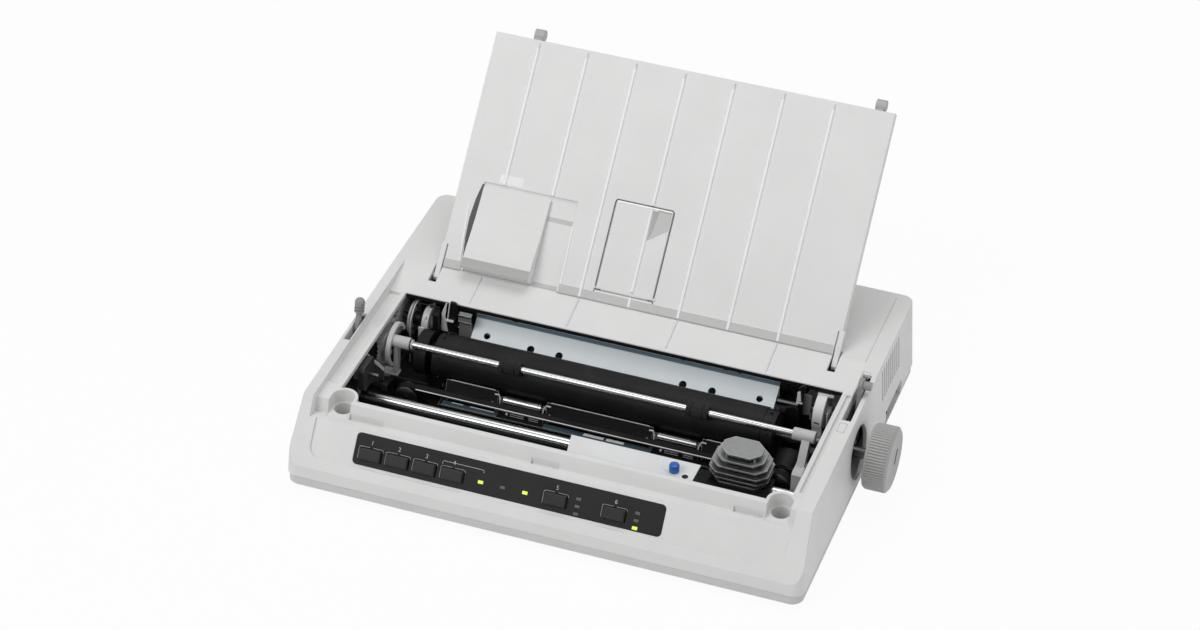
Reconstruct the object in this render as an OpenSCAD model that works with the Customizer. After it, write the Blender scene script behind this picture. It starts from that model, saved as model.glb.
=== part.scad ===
// Dot matrix printer with its access lid off: case, control panel, raised paper
// separator, platen with knob, paper bail, print head carriage and paper drive.
// Drawing frame: X = 0 at the case centre, Y = 0 at the case front, Z = 0 at the
// lower edge of the bottom pan. place() moves it to the frame of the part.

/* [Case] */
// Width of the case at the seam between pan and top cover
case_w = 360; // [352:1:376]
// Depth of the case
case_d = 275; // [270:1:290]
// Height of the seam between pan and top cover
seam_z = 8; // [7:0.5:9]
// Height of the upright lip at the front
lip_z = 17.6; // [16:0.2:19]
// Distance from the front to the knee where the side walls level out
knee_y = 28; // [26:0.5:30]
// Height of the side walls at the knee
knee_z = 57.5; // [56.5:0.1:58.5]
// Distance from the front to the flat rear deck
deck_y = 190; // [188:0.5:192]
// Height of the flat rear deck
top_z = 60; // [59:0.5:63]
// Wall thickness of the pan and the top cover
wall = 2.5; // [2.2:0.1:2.8]
// How far each side wall leans in from seam to deck
draft = 3.85; // [3:0.05:4.5]
// Corner radius of the case, seen from above
corner_r = 8; // [6:0.5:10]
// Visible gap along the seam
seam_gap = 0.3; // [0.2:0.1:0.5]
// How far the pan is set in from the cover on each side
pan_inset = 0.7; // [0.4:0.1:1.2]
// Height of the rubber feet below the pan
foot_h = 3.5; // [2.5:0.5:6]
// Diameter of a rubber foot
foot_d = 18; // [14:1:22]
// Distance of a foot centre from the side and end walls
foot_inset = 26; // [22:1:32]

/* [Access opening] */
// Height of the rim that the access lid rests on
rim_z = 53; // [52.6:0.1:53.4]
// Distance from the front to the front edge of the opening
open_front_y = 36.6; // [36:0.2:38]
// Distance from the front to the rear edge of the opening
open_back_y = 162.7; // [161:0.5:164]
// Margin between the case side and the opening
open_margin = 22.5; // [22:0.1:23]
// Width of the narrow rim along both sides of the opening
side_rim_w = 3.3; // [2.5:0.1:3.8]
// Width of the left wall top
left_wall_w = 10.9; // [10.6:0.1:11.1]
// Width of the right wall top
right_wall_w = 14.5; // [14:0.1:15]
// Height of the ridge above the control panel
ridge_z = 45.4; // [45:0.1:46]
// Diameter of the front screw wells
well_d = 15.6; // [15:0.2:16.4]
// Distance of a screw well from the case centre
well_x = 152.5; // [151.5:0.5:153.5]

/* [Control panel] */
// Left end of the panel from the case centre
panel_x0 = -134; // [-136:0.5:-132]
// Right end of the panel from the case centre
panel_x1 = 81.5; // [78:0.5:100]
// Lower edge of the panel up the front slope
panel_v0 = 10.2; // [9.8:0.1:10.8]
// Height of the panel up the front slope
panel_h = 21.2; // [20.6:0.2:22]
// Thickness of the panel plate
panel_t = 1.5; // [1.3:0.1:1.8]
// Width of a button
button_w = 15.6; // [14:0.2:16.6]
// Height of a button
button_h = 8; // [7:0.2:8.6]
// How far a button stands out of the panel
button_out = 2.6; // [2:0.1:3.4]
// Travel of a button
button_travel = 0.8; // [0.5:0.1:1]

/* [Paper separator] */
// Width of the separator plate
sep_w = 289; // [286:1:291]
// Length of the separator plate up its slope
sep_len = 176; // [160:1:190]
// Lean of the separator above the horizontal
sep_angle = 48.2; // [46:0.2:50]
// Thickness of the separator plate
sep_t = 2.2; // [1.9:0.1:2.5]
// Distance between two ribs
rib_pitch = 35.7; // [35:0.1:36.2]
// Width of the sliding sheet guide
guide_w = 49.5; // [46:0.5:51]
// Length of the sliding sheet guide
guide_len = 63; // [58:0.5:65]
// Width of the small front flap
flap_w = 40.8; // [38:0.2:42]
// Length of the small front flap
flap_len = 61.5; // [56:0.5:64]

/* [Paper drive] */
// Distance from the front to the platen axis
platen_y = 133; // [132.6:0.1:133.4]
// Height of the platen axis
platen_z = 29.5; // [29.2:0.1:29.8]
// Diameter of the platen
platen_d = 32.4; // [32:0.1:32.8]
// Length of the platen
platen_len = 226; // [222:1:228]
// Diameter of the platen shaft
shaft_d = 8; // [7:0.5:9]
// Diameter of the platen knob
knob_d = 45.4; // [42:0.2:48]
// Width of the platen knob
knob_w = 17; // [15:0.5:20]
// Gap between the case side and the knob
knob_gap = 7.6; // [6.6:0.2:9]
// Tooth size of the paper drive gears
gear_module = 1; // [0.98:0.01:1.02]
// Width of the paper drive gears
gear_w = 5; // [4:0.25:5.5]
// Running clearance between a shaft and its bore
fit = 0.05; // [0.02:0.01:0.09]
// Gap kept between pieces that move past each other
gap = 0.3; // [0.25:0.05:0.4]

/* [Paper bail] */
// Diameter of the bail rod
bail_rod_d = 4.5; // [4:0.1:4.8]
// Diameter of the bail rollers
bail_roller_d = 10; // [9:0.2:10.4]
// Length of the bail rollers
bail_roller_len = 15.3; // [13:0.1:18]

/* [Print head] */
// Place of the print head from the case centre
head_x = 111; // [90:1:112]
// Width of the largest cooling fin
fin_w = 46; // [42:0.5:47]
// Depth of the largest cooling fin
fin_d = 30; // [28:0.2:30.4]
// Thickness of a cooling fin
fin_t = 1.2; // [1:0.1:1.6]
// Height of the top of the print head
head_top_z = 44; // [43:0.2:44.6]
// Diameter of the carriage rail
rail_d = 8; // [7:0.2:8.4]

/* [Hidden] */
$fn = 48;

half_w = case_w / 2;
open_hw = half_w - open_margin;
left_in = half_w - left_wall_w;
right_in = half_w - right_wall_w;
cover_z0 = seam_z + seam_gap;
slope_a = atan2(knee_z - lip_z, knee_y);
ridge_y = knee_y * (ridge_z - lip_z) / (knee_z - lip_z);
ridge_v = norm([ridge_y, ridge_z - lip_z]);
shelf_y = open_front_y - 7.1;
shelf_z = ridge_z - 2.2;
rim_front_y = open_front_y - 4.4;
rim_t = 3.5;
rim_under_z = rim_z - rim_t;
groove_d = 1.8;
inset_d = 1.2;
panel_ledge = 1.3;
slope_wall = inset_d + panel_t + panel_ledge;
well_r = well_d / 2;
well_y = open_front_y + 1.4;
well_floor_z = 20;
well_core_r = well_r - 1.5;

// Half width of the case outside at height z
function side_x(z) = half_w - draft * (z - cover_z0) / (top_z - cover_z0);

knob_x0 = side_x(platen_z) + knob_gap;
knob_x1 = knob_x0 + knob_w;
shaft_r = shaft_d / 2;
platen_r = platen_d / 2;
sprocket_r = platen_r - 0.6;
sprocket_w = 8.4;
collar_x0 = -platen_len / 2 - 2 * sprocket_w - 5;

// Side frames and chassis
frame_t = 1.6;
frame_in = half_w - 13.3;
frame_out = frame_in + frame_t;
chassis_z = seam_z - 4.2;
chassis_t = 1.2;
deck_z = chassis_z + chassis_t;
chassis_y0 = open_front_y + 19.4;
chassis_y1 = deck_y - 4;
frame_y0 = chassis_y0 + 2;
frame_y1 = chassis_y1 - 2;

// Paper drive gears, seen from the right: angles run from +Y towards +Z
platen_teeth = 35;
tractor_teeth = 26;
idler_teeth = 24;
pinion_teeth = 14;
function pitch_r(n) = n * gear_module / 2;
function polar_yz(c, r, a) = [c[0] + r * cos(a), c[1] + r * sin(a)];
function mesh_phase(phase, n, a, m) = a + 180 + (((a - phase) * n / 360) % 1 - 0.5) * 360 / m;
platen_c = [platen_y, platen_z];
tractor_dir = 6.6;
idler_dir = 168;
pinion_dir = 172;
tractor_c = polar_yz(platen_c, pitch_r(platen_teeth + tractor_teeth), tractor_dir);
idler_c = polar_yz(platen_c, pitch_r(platen_teeth + idler_teeth), idler_dir);
pinion_c = polar_yz(idler_c, pitch_r(idler_teeth + pinion_teeth), pinion_dir);
idler_phase = mesh_phase(0, platen_teeth, idler_dir, idler_teeth);
gear_x0 = -(frame_in - 1.7);
gear_x1 = gear_x0 + gear_w;
tractor_r = 2.5;
wheel_r = 11.4;
stud_r = 2;
motor_r = 10;
motor_x0 = gear_x1 + 2;
motor_x1 = motor_x0 + 14.5;
motor_plate_t = 1.2;
motor_shaft_r = 1.5;

// Pressure rollers below the front of the platen
press_r = 4;
press_len = 27;
press_dir = 216.6;
press_c = polar_yz(platen_c, platen_r + press_r + gap, press_dir);
press_pivot = [platen_y - 5, deck_z + 3.5];
press_half = platen_len / 2 - 1;
shield_y = platen_y - platen_r - 5.2;
chute_r = platen_r + 1.6;
chute_t = 1.2;
press_x = [-53.5, 57.5];
shield_gap = press_len / 2 + 4;
shield_x = [[-press_half + 3, press_x[0] - shield_gap], [press_x[0] + shield_gap, press_x[1] - shield_gap],
    [press_x[1] + shield_gap, press_half - 3]];

// Paper bail
bail_rod_r = bail_rod_d / 2;
bail_roller_r = bail_roller_d / 2;
bail_dir = 133.7;
bail_c = polar_yz(platen_c, platen_r + bail_roller_r + gap, bail_dir);
bail_pivot = [platen_y - 33, platen_z - 11.5];
bail_arm_x = half_w - 33;
bail_arm_t = 6;
bail_web_x = [bail_arm_x - 1.5, bail_arm_x + 1.5];
bail_ring_c = [bail_c[0] + 5.9, bail_c[1] - 7.5];
bail_ring_r = 15.5;
bail_ring_w = 2.7;
bail_hub_x0 = bail_arm_x - 10.5;
bail_hub_x1 = bail_arm_x + 5;
bail_hub_r = bail_rod_r + 2;
pivot_r = 2.5;
roller_x = [-63.5, 70];

// Levers beside the side frames
lever_t = 3;
bail_lever_x = frame_out + 1;
bail_lever_c = [platen_y + 17, platen_z - 1.5];
release_x = -(frame_out + 2.4 + lever_t);
release_c = [platen_y - 21, platen_z - 9.5];
left_slot = [release_x - 0.7, release_x + lever_t + 0.7];
left_slot_y = [platen_y - 42, platen_y - 11];
right_slot = [bail_lever_x - 2.6, bail_lever_x + lever_t + 0.6];
right_slot_y = [platen_y - 7, platen_y + 45];

// Carriage, rails, belt and print head
rail_r = rail_d / 2;
rail_c = [platen_y - 42, platen_z - 15.5];
front_rail_r = 2.5;
front_rail_c = [rail_c[0] - 23, rail_c[1]];
belt_y = rail_c[0] + 12;
belt_w = 5;
belt_t = 1.4;
belt_z = rail_c[1];
pulley_r = 6.7;
pulley_x = half_w - 47;
pulley_w = 5.4;
belt_in_r = pulley_r + gap;
fin_pitch = 4.65;
fin_last = 5;
fin_y = rail_c[0] + 3.5;
stack_z = head_top_z - fin_last * fin_pitch - fin_t;
nose_y = platen_y - platen_r - 1;
cover_plate_z = platen_z + 2.5;
cover_plate_y1 = fin_y - fin_d / 2 - 1.5;
cover_plate_x = [-5.5, 88];
lever_peg_x = 68;

// Separator
sep_y = deck_y - 2;
sep_z = top_z - 6;
sep_face = 2;
sep_hw = sep_w / 2;
sep_u0 = 6.7;
flange_d = 5;
leg_x0 = sep_hw - 2.2;
leg_x1 = sep_hw + 1.5;
leg_u = 24;
pin_r = 2;
ear_t = 2.5;
ear_x = leg_x1 + 1.6;
rib_x0 = -112;
rib_w = 1.2;
rib_h = 1.2;
flap_x0 = -30.6;
flap_u = 15.9;
flap_pin_r = 0.7;
guide_x0 = -126;
guide_u0 = 4.5;
track_d = 1;
track_x1 = -57.5;
track_u1 = 71;
guide_travel = 18;
guide_depth = 11;
stop_r = 4.2;
stop_u = sep_len + 4;
stop_w = -1.7;
stop_x = [-113.8, 133.4];

// Point of the separator at distance u up its slope and w in front of its pivot line
function sep_pt(u, w) = [
    sep_y + u * cos(sep_angle) - w * sin(sep_angle),
    sep_z + u * sin(sep_angle) + w * cos(sep_angle)
];

// Shift from the drawing frame to the frame of the part
mid_x = (knob_x1 - half_w) / 2;
mid_y = (sep_pt(stop_u, stop_w)[0] + stop_r) / 2;

module place() {
    translate([-mid_x, -mid_y, foot_h]) children();
}

// Extrude a Y-Z outline from x0 to x1
module x_extrude(x0, x1) {
    translate([x0, 0, 0]) rotate([90, 0, 90]) linear_extrude(x1 - x0) children();
}

// Rod along X between x0 and x1 around the point c = [y, z]
module rod_x(x0, x1, c, r) {
    translate([x0, c[0], c[1]]) rotate([0, 90, 0]) cylinder(h = x1 - x0, r = r);
}

// Rod along Y between y0 and y1 around x, z
module rod_y(y0, y1, x, z, r) {
    translate([x, y0, z]) rotate([-90, 0, 0]) cylinder(h = y1 - y0, r = r);
}

module box(x, y, z) {
    translate([x[0], y[0], z[0]]) cube([x[1] - x[0], y[1] - y[0], z[1] - z[0]]);
}

module both_sides() {
    children();
    mirror([1, 0, 0]) children();
}

module rounded_rect(w, h, r) {
    translate([r, 0]) square([w - 2 * r, h]);
    translate([0, r]) square([w, h - 2 * r]);
    for (x = [r, w - r], y = [r, h - r]) translate([x, y]) circle(r);
}

// Frame of the front slope: X along the case, Y up the slope, Z out of it
module on_slope() {
    translate([0, 0, lip_z]) rotate([slope_a, 0, 0]) children();
}

// Frame of the separator: X along the case, Y up the plate, Z out of its front face
module on_separator() {
    translate([0, sep_y, sep_z]) rotate([sep_angle, 0, 0]) children();
}

// Block of the upper case, drawn in by inset on every side
module cover_block(inset, z0, z1) {
    r = corner_r - inset;
    hull() for (z = [z0, z1], s = [-1, 1], y = [inset + r, case_d - inset - r])
        translate([s * (side_x(z) - inset - r), y, z])
            cylinder(h = 0.01, r = r, $fn = 32);
}

// ---- Case ----

module outer_profile() {
    polygon([[-1, 0], [-1, lip_z - tan(slope_a)], [knee_y, knee_z], [deck_y, top_z],
        [case_d + 1, top_z], [case_d + 1, 0]]);
}

// Everything above the surfaces between the two side walls
module middle_cut() {
    polygon([[ridge_y, ridge_z], [shelf_y, shelf_z], [rim_front_y, rim_z], [open_back_y, rim_z],
        [deck_y, top_z], [deck_y, top_z + 5], [-5, top_z + 5]]);
}

// Hollow below the middle surfaces
module middle_hollow() {
    foot_y = slope_wall * sin(slope_a);
    foot_z = lip_z - slope_wall * cos(slope_a);
    under = shelf_z - wall;
    polygon([
        [wall, -5],
        [wall, foot_z + (wall - foot_y) * tan(slope_a)],
        [foot_y + (under - foot_z) / tan(slope_a), under],
        [rim_front_y + 0.3, under],
        [open_front_y - 2.1, rim_under_z],
        [open_back_y, rim_under_z],
        [deck_y, top_z - wall],
        [case_d - wall, top_z - wall],
        [case_d - wall, -5]
    ]);
}

// Hollow inside the two side walls
module wall_hollow() {
    polygon([[knee_y - 1, rim_under_z - 10], [knee_y + wall * tan(slope_a / 2), knee_z - wall],
        [deck_y, top_z - wall], [deck_y, rim_under_z - 10]]);
}

module cover_shell() {
    difference() {
        intersection() {
            cover_block(0, cover_z0, top_z + 1);
            x_extrude(-half_w, half_w) outer_profile();
        }
        x_extrude(-left_in, right_in) middle_cut();
        intersection() {
            cover_block(wall, cover_z0 - 2, top_z);
            union() {
                x_extrude(-half_w, half_w) middle_hollow();
                x_extrude(-half_w, -left_in - wall) wall_hollow();
                x_extrude(right_in + wall, half_w) wall_hollow();
            }
        }
    }
}

module well_wall() {
    difference() {
        for (s = [-1, 1]) translate([s * well_x, well_y, 0]) {
            translate([0, 0, shelf_z - wall]) cylinder(h = rim_z - shelf_z + wall, r = well_r + 2.2);
            translate([0, 0, well_floor_z]) cylinder(h = shelf_z - well_floor_z, r = well_core_r + 2);
        }
        box([-half_w, half_w], [0, rim_front_y - 1.5], [shelf_z, top_z]);
    }
}

module well_cut() {
    for (s = [-1, 1]) translate([s * well_x, well_y, 0]) {
        translate([0, 0, shelf_z]) cylinder(h = 30, r = well_r);
        translate([0, 0, well_floor_z + wall]) cylinder(h = 40, r = well_core_r);
        translate([0, 0, well_floor_z - 1]) cylinder(h = 10, r = 2.2);
        box([-well_r, well_r], [rim_front_y - well_y - 6, 0], [shelf_z, top_z]);
    }
}

module hinge_ear() {
    difference() {
        x_extrude(ear_x, ear_x + ear_t) polygon([[sep_y - 5, sep_z - 4], [sep_y + 5, sep_z - 4],
            [sep_y + 5, top_z - 1], [sep_y - 5, top_z - 2.2]]);
        rod_x(ear_x - 1, ear_x + ear_t + 1, [sep_y, sep_z], pin_r + fit);
    }
}

module slope_rib(x) {
    d = 0.8;
    x_extrude(x - rib_w / 2, x + rib_w / 2) polygon([
        [open_back_y + 1, rim_z], [open_back_y + 2.5, rim_z + d + 0.3],
        [deck_y - 1.5, top_z + d - 0.4], [deck_y, top_z], [deck_y, top_z - 1], [open_back_y + 1, rim_z - 1]]);
}

switch_y = [deck_y + 10, deck_y + 50];
switch_top = seam_z + 7;
slit_count = 9;
slit_pitch = 5.1;
slit_w = 2;
slit_z0 = 30;
switch_depth = 3.6;

module top_cover() color("gainsboro") place() difference() {
    union() {
        difference() {
            cover_shell();
            box([-open_hw, open_hw], [open_front_y, open_back_y], [rim_under_z - 5, top_z]);
        }
        well_wall();
        both_sides() hinge_ear();
        for (i = [0, 2, 4, 6]) slope_rib(rib_x0 + i * rib_pitch);
    }
    well_cut();
    // Sunk area around the control panel
    on_slope() translate([-open_hw - 7, 7.9, -inset_d])
        linear_extrude(5) rounded_rect(2 * open_hw + 14, ridge_v + 10, 8);
    // Seat and window of the control panel
    on_slope() translate([panel_x0 - 0.15, panel_v0 - 0.15, -inset_d - panel_t])
        linear_extrude(5) rounded_rect(panel_x1 - panel_x0 + 0.3, panel_h + 0.3, 3.15);
    on_slope() translate([panel_x0 + 2.5, panel_v0 + 2.5, -10])
        cube([panel_x1 - panel_x0 - 5, panel_h - 5, 12]);
    for (p = concat(lit_xv, unlit_xv)) on_slope() translate([0, 0, -10]) linear_extrude(9) led_area(p, 0.4);
    // Pockets for the tabs of the access lid
    for (x = [[-144.6, -120.5], [-15.7, 3.4], [123.3, 143]])
        box(x, [shelf_y - 2.4, shelf_y + 1], [shelf_z - 1.2, shelf_z + 4]);
    // Grooves beside the rim
    groove_y = [open_front_y + 14, open_back_y - 2];
    box([-left_in, -open_hw - side_rim_w], groove_y, [rim_z - groove_d, rim_z + 1]);
    box([open_hw + side_rim_w, right_in], groove_y, [rim_z - groove_d, rim_z + 1]);
    // Lever slots
    box(left_slot, left_slot_y, [rim_under_z - 12, top_z + 5]);
    box(right_slot, right_slot_y, [rim_under_z - 12, top_z + 5]);
    // Slots for the legs of the separator
    both_sides() box([leg_x0 - 0.9, leg_x1 + 0.9], [sep_y - 11, sep_y + 9], [rim_under_z - 5, top_z + 1]);
    // Passage of the platen shaft
    rod_x(right_in, half_w + 1, platen_c, 19);
    // Cooling slits
    for (i = [0:slit_count - 1]) translate([0, deck_y + 1 + slit_pitch * i, 0])
        box([right_in, half_w + 1], [0, slit_w], [slit_z0, top_z - 5]);
    // Switch recess, mains inlet and data connector
    box([half_w - 12, half_w + 1], switch_y, [0, switch_top]);
    box(inlet_x, [case_d - 5, case_d + 1], inlet_z);
    box(plug_x, [case_d - 5, case_d + 1], plug_z);
}

foot_x = half_w - foot_inset;
foot_y = [foot_inset, case_d - foot_inset];
boss_x = [-150, -20, 112];
boss_y = [chassis_y0 + 6, chassis_y1 - 6];
board_x = [-half_w + 14, half_w - 130];
board_y = [deck_y + 8, case_d - 12];
board_z = wall + 4;
boss_r = 4;
screw_r = 1.5;
inlet_x = [half_w - 56, half_w - 28];
inlet_z = [seam_z + 6, seam_z + 27];
plug_x = [-half_w + 45, -half_w + 115];
plug_z = [seam_z + 6, seam_z + 20];

module foot_centres() {
    for (s = [-1, 1], y = foot_y) translate([s * foot_x, y, 0]) children();
}

module bottom_pan() color("lightgray") place() {
    hw = half_w - pan_inset;
    difference() {
        union() {
            difference() {
                hull() for (z = [[0, 1.5], [1.5, 0], [seam_z - 0.01, 0]], s = [-1, 1], y = [0, 1]) {
                    r = corner_r - z[1];
                    y1 = pan_inset + z[1] + r;
                    translate([s * (hw - z[1] - r), y == 0 ? y1 : case_d - y1, z[0]])
                        cylinder(h = 0.01, r = r, $fn = 32);
                }
                hull() for (s = [-1, 1], y = [pan_inset + corner_r, case_d - pan_inset - corner_r])
                    translate([s * (hw - corner_r), y, wall])
                        cylinder(h = seam_z, r = corner_r - wall, $fn = 32);
            }
            // Screw pillars below the two wells
            for (s = [-1, 1]) translate([s * well_x, well_y, wall - 0.5])
                cylinder(h = well_floor_z - gap - wall + 0.5, r = boss_r);
            // Seats of the chassis plate and of the main board
            for (x = boss_x, y = boss_y) translate([x, y, wall - 0.5])
                cylinder(h = chassis_z - wall + 0.5, r = 5);
            for (x = [board_x[0] + 6, board_x[1] - 6], y = [board_y[0] + 6, board_y[1] - 6])
                translate([x, y, wall - 0.5]) cylinder(h = board_z - wall + 0.5, r = 3);
        }
        for (s = [-1, 1]) translate([s * well_x, well_y, 1]) cylinder(h = 30, r = screw_r + fit);
        for (x = boss_x, y = boss_y) translate([x, y, 0.8]) cylinder(h = 10, r = screw_r + fit);
        foot_centres() translate([0, 0, -1]) cylinder(h = 10, r = 2.5 + fit);
        box([half_w - 12, half_w + 1], switch_y, [wall, seam_z + 1]);
    }
    // Block that holds the power switch
    difference() {
        box([half_w - 16, half_w - switch_depth], [switch_y[0] - 2, switch_y[1] + 2],
            [wall - 0.5, switch_top - gap]);
        box([half_w - 14.5, half_w], rocker_y, [rocker_z0, rocker_z1]);
        translate([rocker_c[0], rocker_c[1], wall + 0.2]) cylinder(h = 20, r = 1.2 + fit);
    }
}

rocker_y = [(switch_y[0] + switch_y[1]) / 2 - 10, (switch_y[0] + switch_y[1]) / 2 + 10];
rocker_c = [half_w - 9, (switch_y[0] + switch_y[1]) / 2];
rocker_z0 = wall + 1.2;
rocker_z1 = switch_top - 1.5;
rocker_tilt = 6;

module power_switch() color("dimgray") place() translate([rocker_c[0], rocker_c[1], 0]) {
    rotate([0, 0, rocker_tilt]) translate([0, 0, rocker_z0 + gap])
        linear_extrude(rocker_z1 - rocker_z0 - 2 * gap)
            polygon([[-3, -6], [4.6, -8.6], [5.6, -8.2], [4.2, 0], [5.6, 8.2], [4.6, 8.6], [-3, 6]]);
    translate([0, 0, wall + 0.4]) cylinder(h = switch_top - gap - wall - 0.6, r = 1.2);
}

module rubber_feet() color("#333333") place() foot_centres() {
    rotate_extrude() polygon([[0, 0], [foot_d / 2 - 1, 0], [foot_d / 2, -1], [foot_d / 2 - 0.6, -foot_h],
        [0, -foot_h]]);
    translate([0, 0, -0.5]) cylinder(h = wall, r = 2.5);
}

module cover_screws() color("#2c2c2c") place() for (s = [-1, 1]) translate([s * well_x, well_y, 0]) {
    translate([0, 0, seam_z]) cylinder(h = well_floor_z + wall - seam_z, r = screw_r);
    difference() {
        translate([0, 0, well_floor_z + wall]) cylinder(h = 3, r = 4);
        for (a = [0, 90]) rotate([0, 0, a]) translate([-2.4, -0.5, well_floor_z + wall + 1.4])
            cube([4.8, 1, 3]);
    }
}

// ---- Control panel ----

button_v = panel_v0 + 8;
button_x = [-122.5, -103.3, -84, -64.5, 7.5, 48];
lit_xv = [[-44.5, 7.6], [-13.5, 7.6], [63.5, 2]];
unlit_xv = [[-29, 7.6], [23, 12], [23, 7], [23, 2], [63.5, 12], [63.5, 7]];
led_w = 3.4;
led_h = 2;
panel_w0 = -inset_d - panel_t;
board_w = -slope_wall - 6;

module control_panel() color("#3c3c3c") place() on_slope() difference() {
    translate([panel_x0, panel_v0, panel_w0]) linear_extrude(panel_t)
        rounded_rect(panel_x1 - panel_x0, panel_h, 3);
    for (x = button_x) translate([x, button_v, -10]) linear_extrude(20) offset(delta = 0.3)
        square([button_w, button_h], center = true);
    for (p = concat(lit_xv, unlit_xv)) translate([0, 0, -10]) linear_extrude(20) led_area(p, 0.15);
}

module panel_board() color("#2f6b3a") place() on_slope() {
    translate([panel_x0 + 3.5, panel_v0 - 1, board_w]) cube([panel_x1 - panel_x0 - 7, panel_h + 1, 1.6]);
    for (x = button_x) translate([x, button_v, board_w + 1.5]) cylinder(h = 1.3, r = 3);
    for (x = [(button_x[0] + button_x[1]) / 2, -54, 33, panel_x1 - 6])
        translate([x, panel_v0 + 10.5, board_w + 1.5])
        cylinder(h = -slope_wall - board_w - 1.5 + panel_ledge - gap, r = 1.3);
}

module led_area(p, room) {
    translate([p[0], panel_v0 + p[1]]) square([led_w + 2 * room, led_h + 2 * room], center = true);
}

module indicator(p) {
    translate([0, 0, board_w + 1.6]) linear_extrude(panel_w0 + panel_t - board_w - 1.2) led_area(p, 0);
}

module lit_indicators() color("#c8e04a") place() on_slope() for (p = lit_xv) indicator(p);
module unlit_indicators() color("#8a8f86") place() on_slope() for (p = unlit_xv) indicator(p);

module panel_button(i) color("gainsboro") place() on_slope() translate([button_x[i], button_v, 0]) {
    z1 = panel_w0 + panel_t + button_out;
    translate([0, 0, z1 - 4.2]) linear_extrude(3.4) square([button_w, button_h], center = true);
    hull() {
        translate([0, 0, z1 - 0.8]) linear_extrude(0.01) square([button_w, button_h], center = true);
        translate([0, 0, z1 - 0.01]) linear_extrude(0.01)
            square([button_w - 1.6, button_h - 1.6], center = true);
    }
    z0 = board_w + 2.8 + button_travel + 0.2;
    translate([0, 0, z0]) cylinder(h = z1 - 4 - z0, r = 2.6);
    translate([0, 0, z0 + 0.6]) linear_extrude(0.8) square([button_w - 2, button_h + 2], center = true);
}

module line_feed_button() panel_button(0);
module form_feed_button() panel_button(1);
module top_of_form_button() panel_button(2);
module select_button() panel_button(3);
module pitch_button() panel_button(4);
module mode_button() panel_button(5);

// ---- Chassis ----

motor_win = [pulley_x - 11.5, pulley_x + 11.5];
tab_y = belt_y + 4.2;
tab_x1 = bail_web_x[0] - 2 * gap;
press_ear = [press_half + 2, press_half + 3.6];
flange_x = frame_in - 12;
frame_screw_y = [frame_y0 + 8, frame_y1 - 8];

module chassis_plate() color("silver") place() difference() {
    union() {
        difference() {
            box([-frame_in, frame_in], [chassis_y0, chassis_y1], [chassis_z, deck_z]);
            box(motor_win, [tab_y + chassis_t, platen_y - 4], [0, 20]);
        }
        // Motor bracket on the right and pulley bracket on the left
        both_sides() box([pulley_x - 13, tab_x1], [tab_y, tab_y + chassis_t], [chassis_z, belt_z + 9]);
        rod_y(belt_y - 4.6, tab_y + 1, -pulley_x, belt_z, stud_r);
        // Ears of the pressure frame
        both_sides() x_extrude(press_ear[0], press_ear[1]) polygon([[press_pivot[0] - 5, chassis_z],
            [press_pivot[0] + 5, chassis_z], [press_pivot[0] + 3, press_pivot[1] + 3],
            [press_pivot[0] - 3, press_pivot[1] + 3]]);
    }
    both_sides() rod_x(press_ear[0] - 1, press_ear[1] + 1, press_pivot, motor_shaft_r + fit);
    rod_y(tab_y - 1, tab_y + 3, pulley_x, belt_z, 3);
    for (x = boss_x, y = boss_y) translate([x, y, 0]) cylinder(h = 20, r = screw_r + fit);
    for (s = [-1, 1], y = frame_screw_y) translate([s * (flange_x + 5), y, 0])
        cylinder(h = 20, r = screw_r + fit);
}

module side_frame() {
    difference() {
        union() {
            x_extrude(frame_in, frame_out) polygon([[frame_y0, deck_z], [frame_y1, deck_z], [frame_y1, 34],
                [frame_y1 - 6, rim_under_z - 1], [pinion_c[0] - 16, rim_under_z - 1], [frame_y0, 32]]);
            box([flange_x, frame_out], [frame_y0, frame_y1], [deck_z, deck_z + frame_t]);
        }
        rod_x(frame_in - 1, frame_out + 1, platen_c, shaft_r + 3 + fit);
        rod_x(frame_in - 1, frame_out + 1, tractor_c, tractor_r + fit);
        rod_x(frame_in - 1, frame_out + 1, rail_c, rail_r + fit);
        rod_x(frame_in - 1, frame_out + 1, front_rail_c, front_rail_r + fit);
        rod_x(frame_in - 1, frame_out + 1, bail_pivot, pivot_r + fit);
        for (y = frame_screw_y) translate([flange_x + 5, y, 0]) cylinder(h = 20, r = screw_r + fit);
    }
}

module side_frame_left() color("darkgray") place() {
    mirror([1, 0, 0]) side_frame();
    rod_x(gear_x0 - 2.5, gear_x1 + 0.4, idler_c, stud_r);
    rod_x(release_x, -frame_out + 0.1, release_c, stud_r);
    for (p = motor_posts) rod_x(-frame_in - 0.1, motor_x0 - motor_plate_t, p, 2.5);
}

module side_frame_right() color("darkgray") place() {
    side_frame();
    rod_x(frame_out - 0.1, bail_lever_x + lever_t, bail_lever_c, stud_r);
}

motor_posts = [[pinion_c[0] - 9, pinion_c[1] - 13], [pinion_c[0] - 12, pinion_c[1] + 7]];

module frame_screws() color("#a8a8a8") place() {
    for (x = boss_x, y = boss_y) translate([x, y, deck_z]) frame_screw();
    for (s = [-1, 1], y = frame_screw_y) translate([s * (flange_x + 5), y, deck_z + frame_t]) frame_screw();
}

module frame_screw() {
    translate([0, 0, -3.6]) cylinder(h = 3.7, r = screw_r, $fn = 24);
    difference() {
        cylinder(h = 1.8, r = 2.9, $fn = 24);
        translate([-2, -0.4, 1]) cube([4, 0.8, 2]);
    }
}

module platen_bushings() color("ivory") place() both_sides() difference() {
    union() {
        rod_x(frame_in, frame_out + 0.5, platen_c, shaft_r + 3);
        rod_x(frame_out, frame_out + 1.4, platen_c, shaft_r + 5.5);
    }
    rod_x(frame_in - 1, frame_out + 3, platen_c, shaft_r + fit);
}

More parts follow.
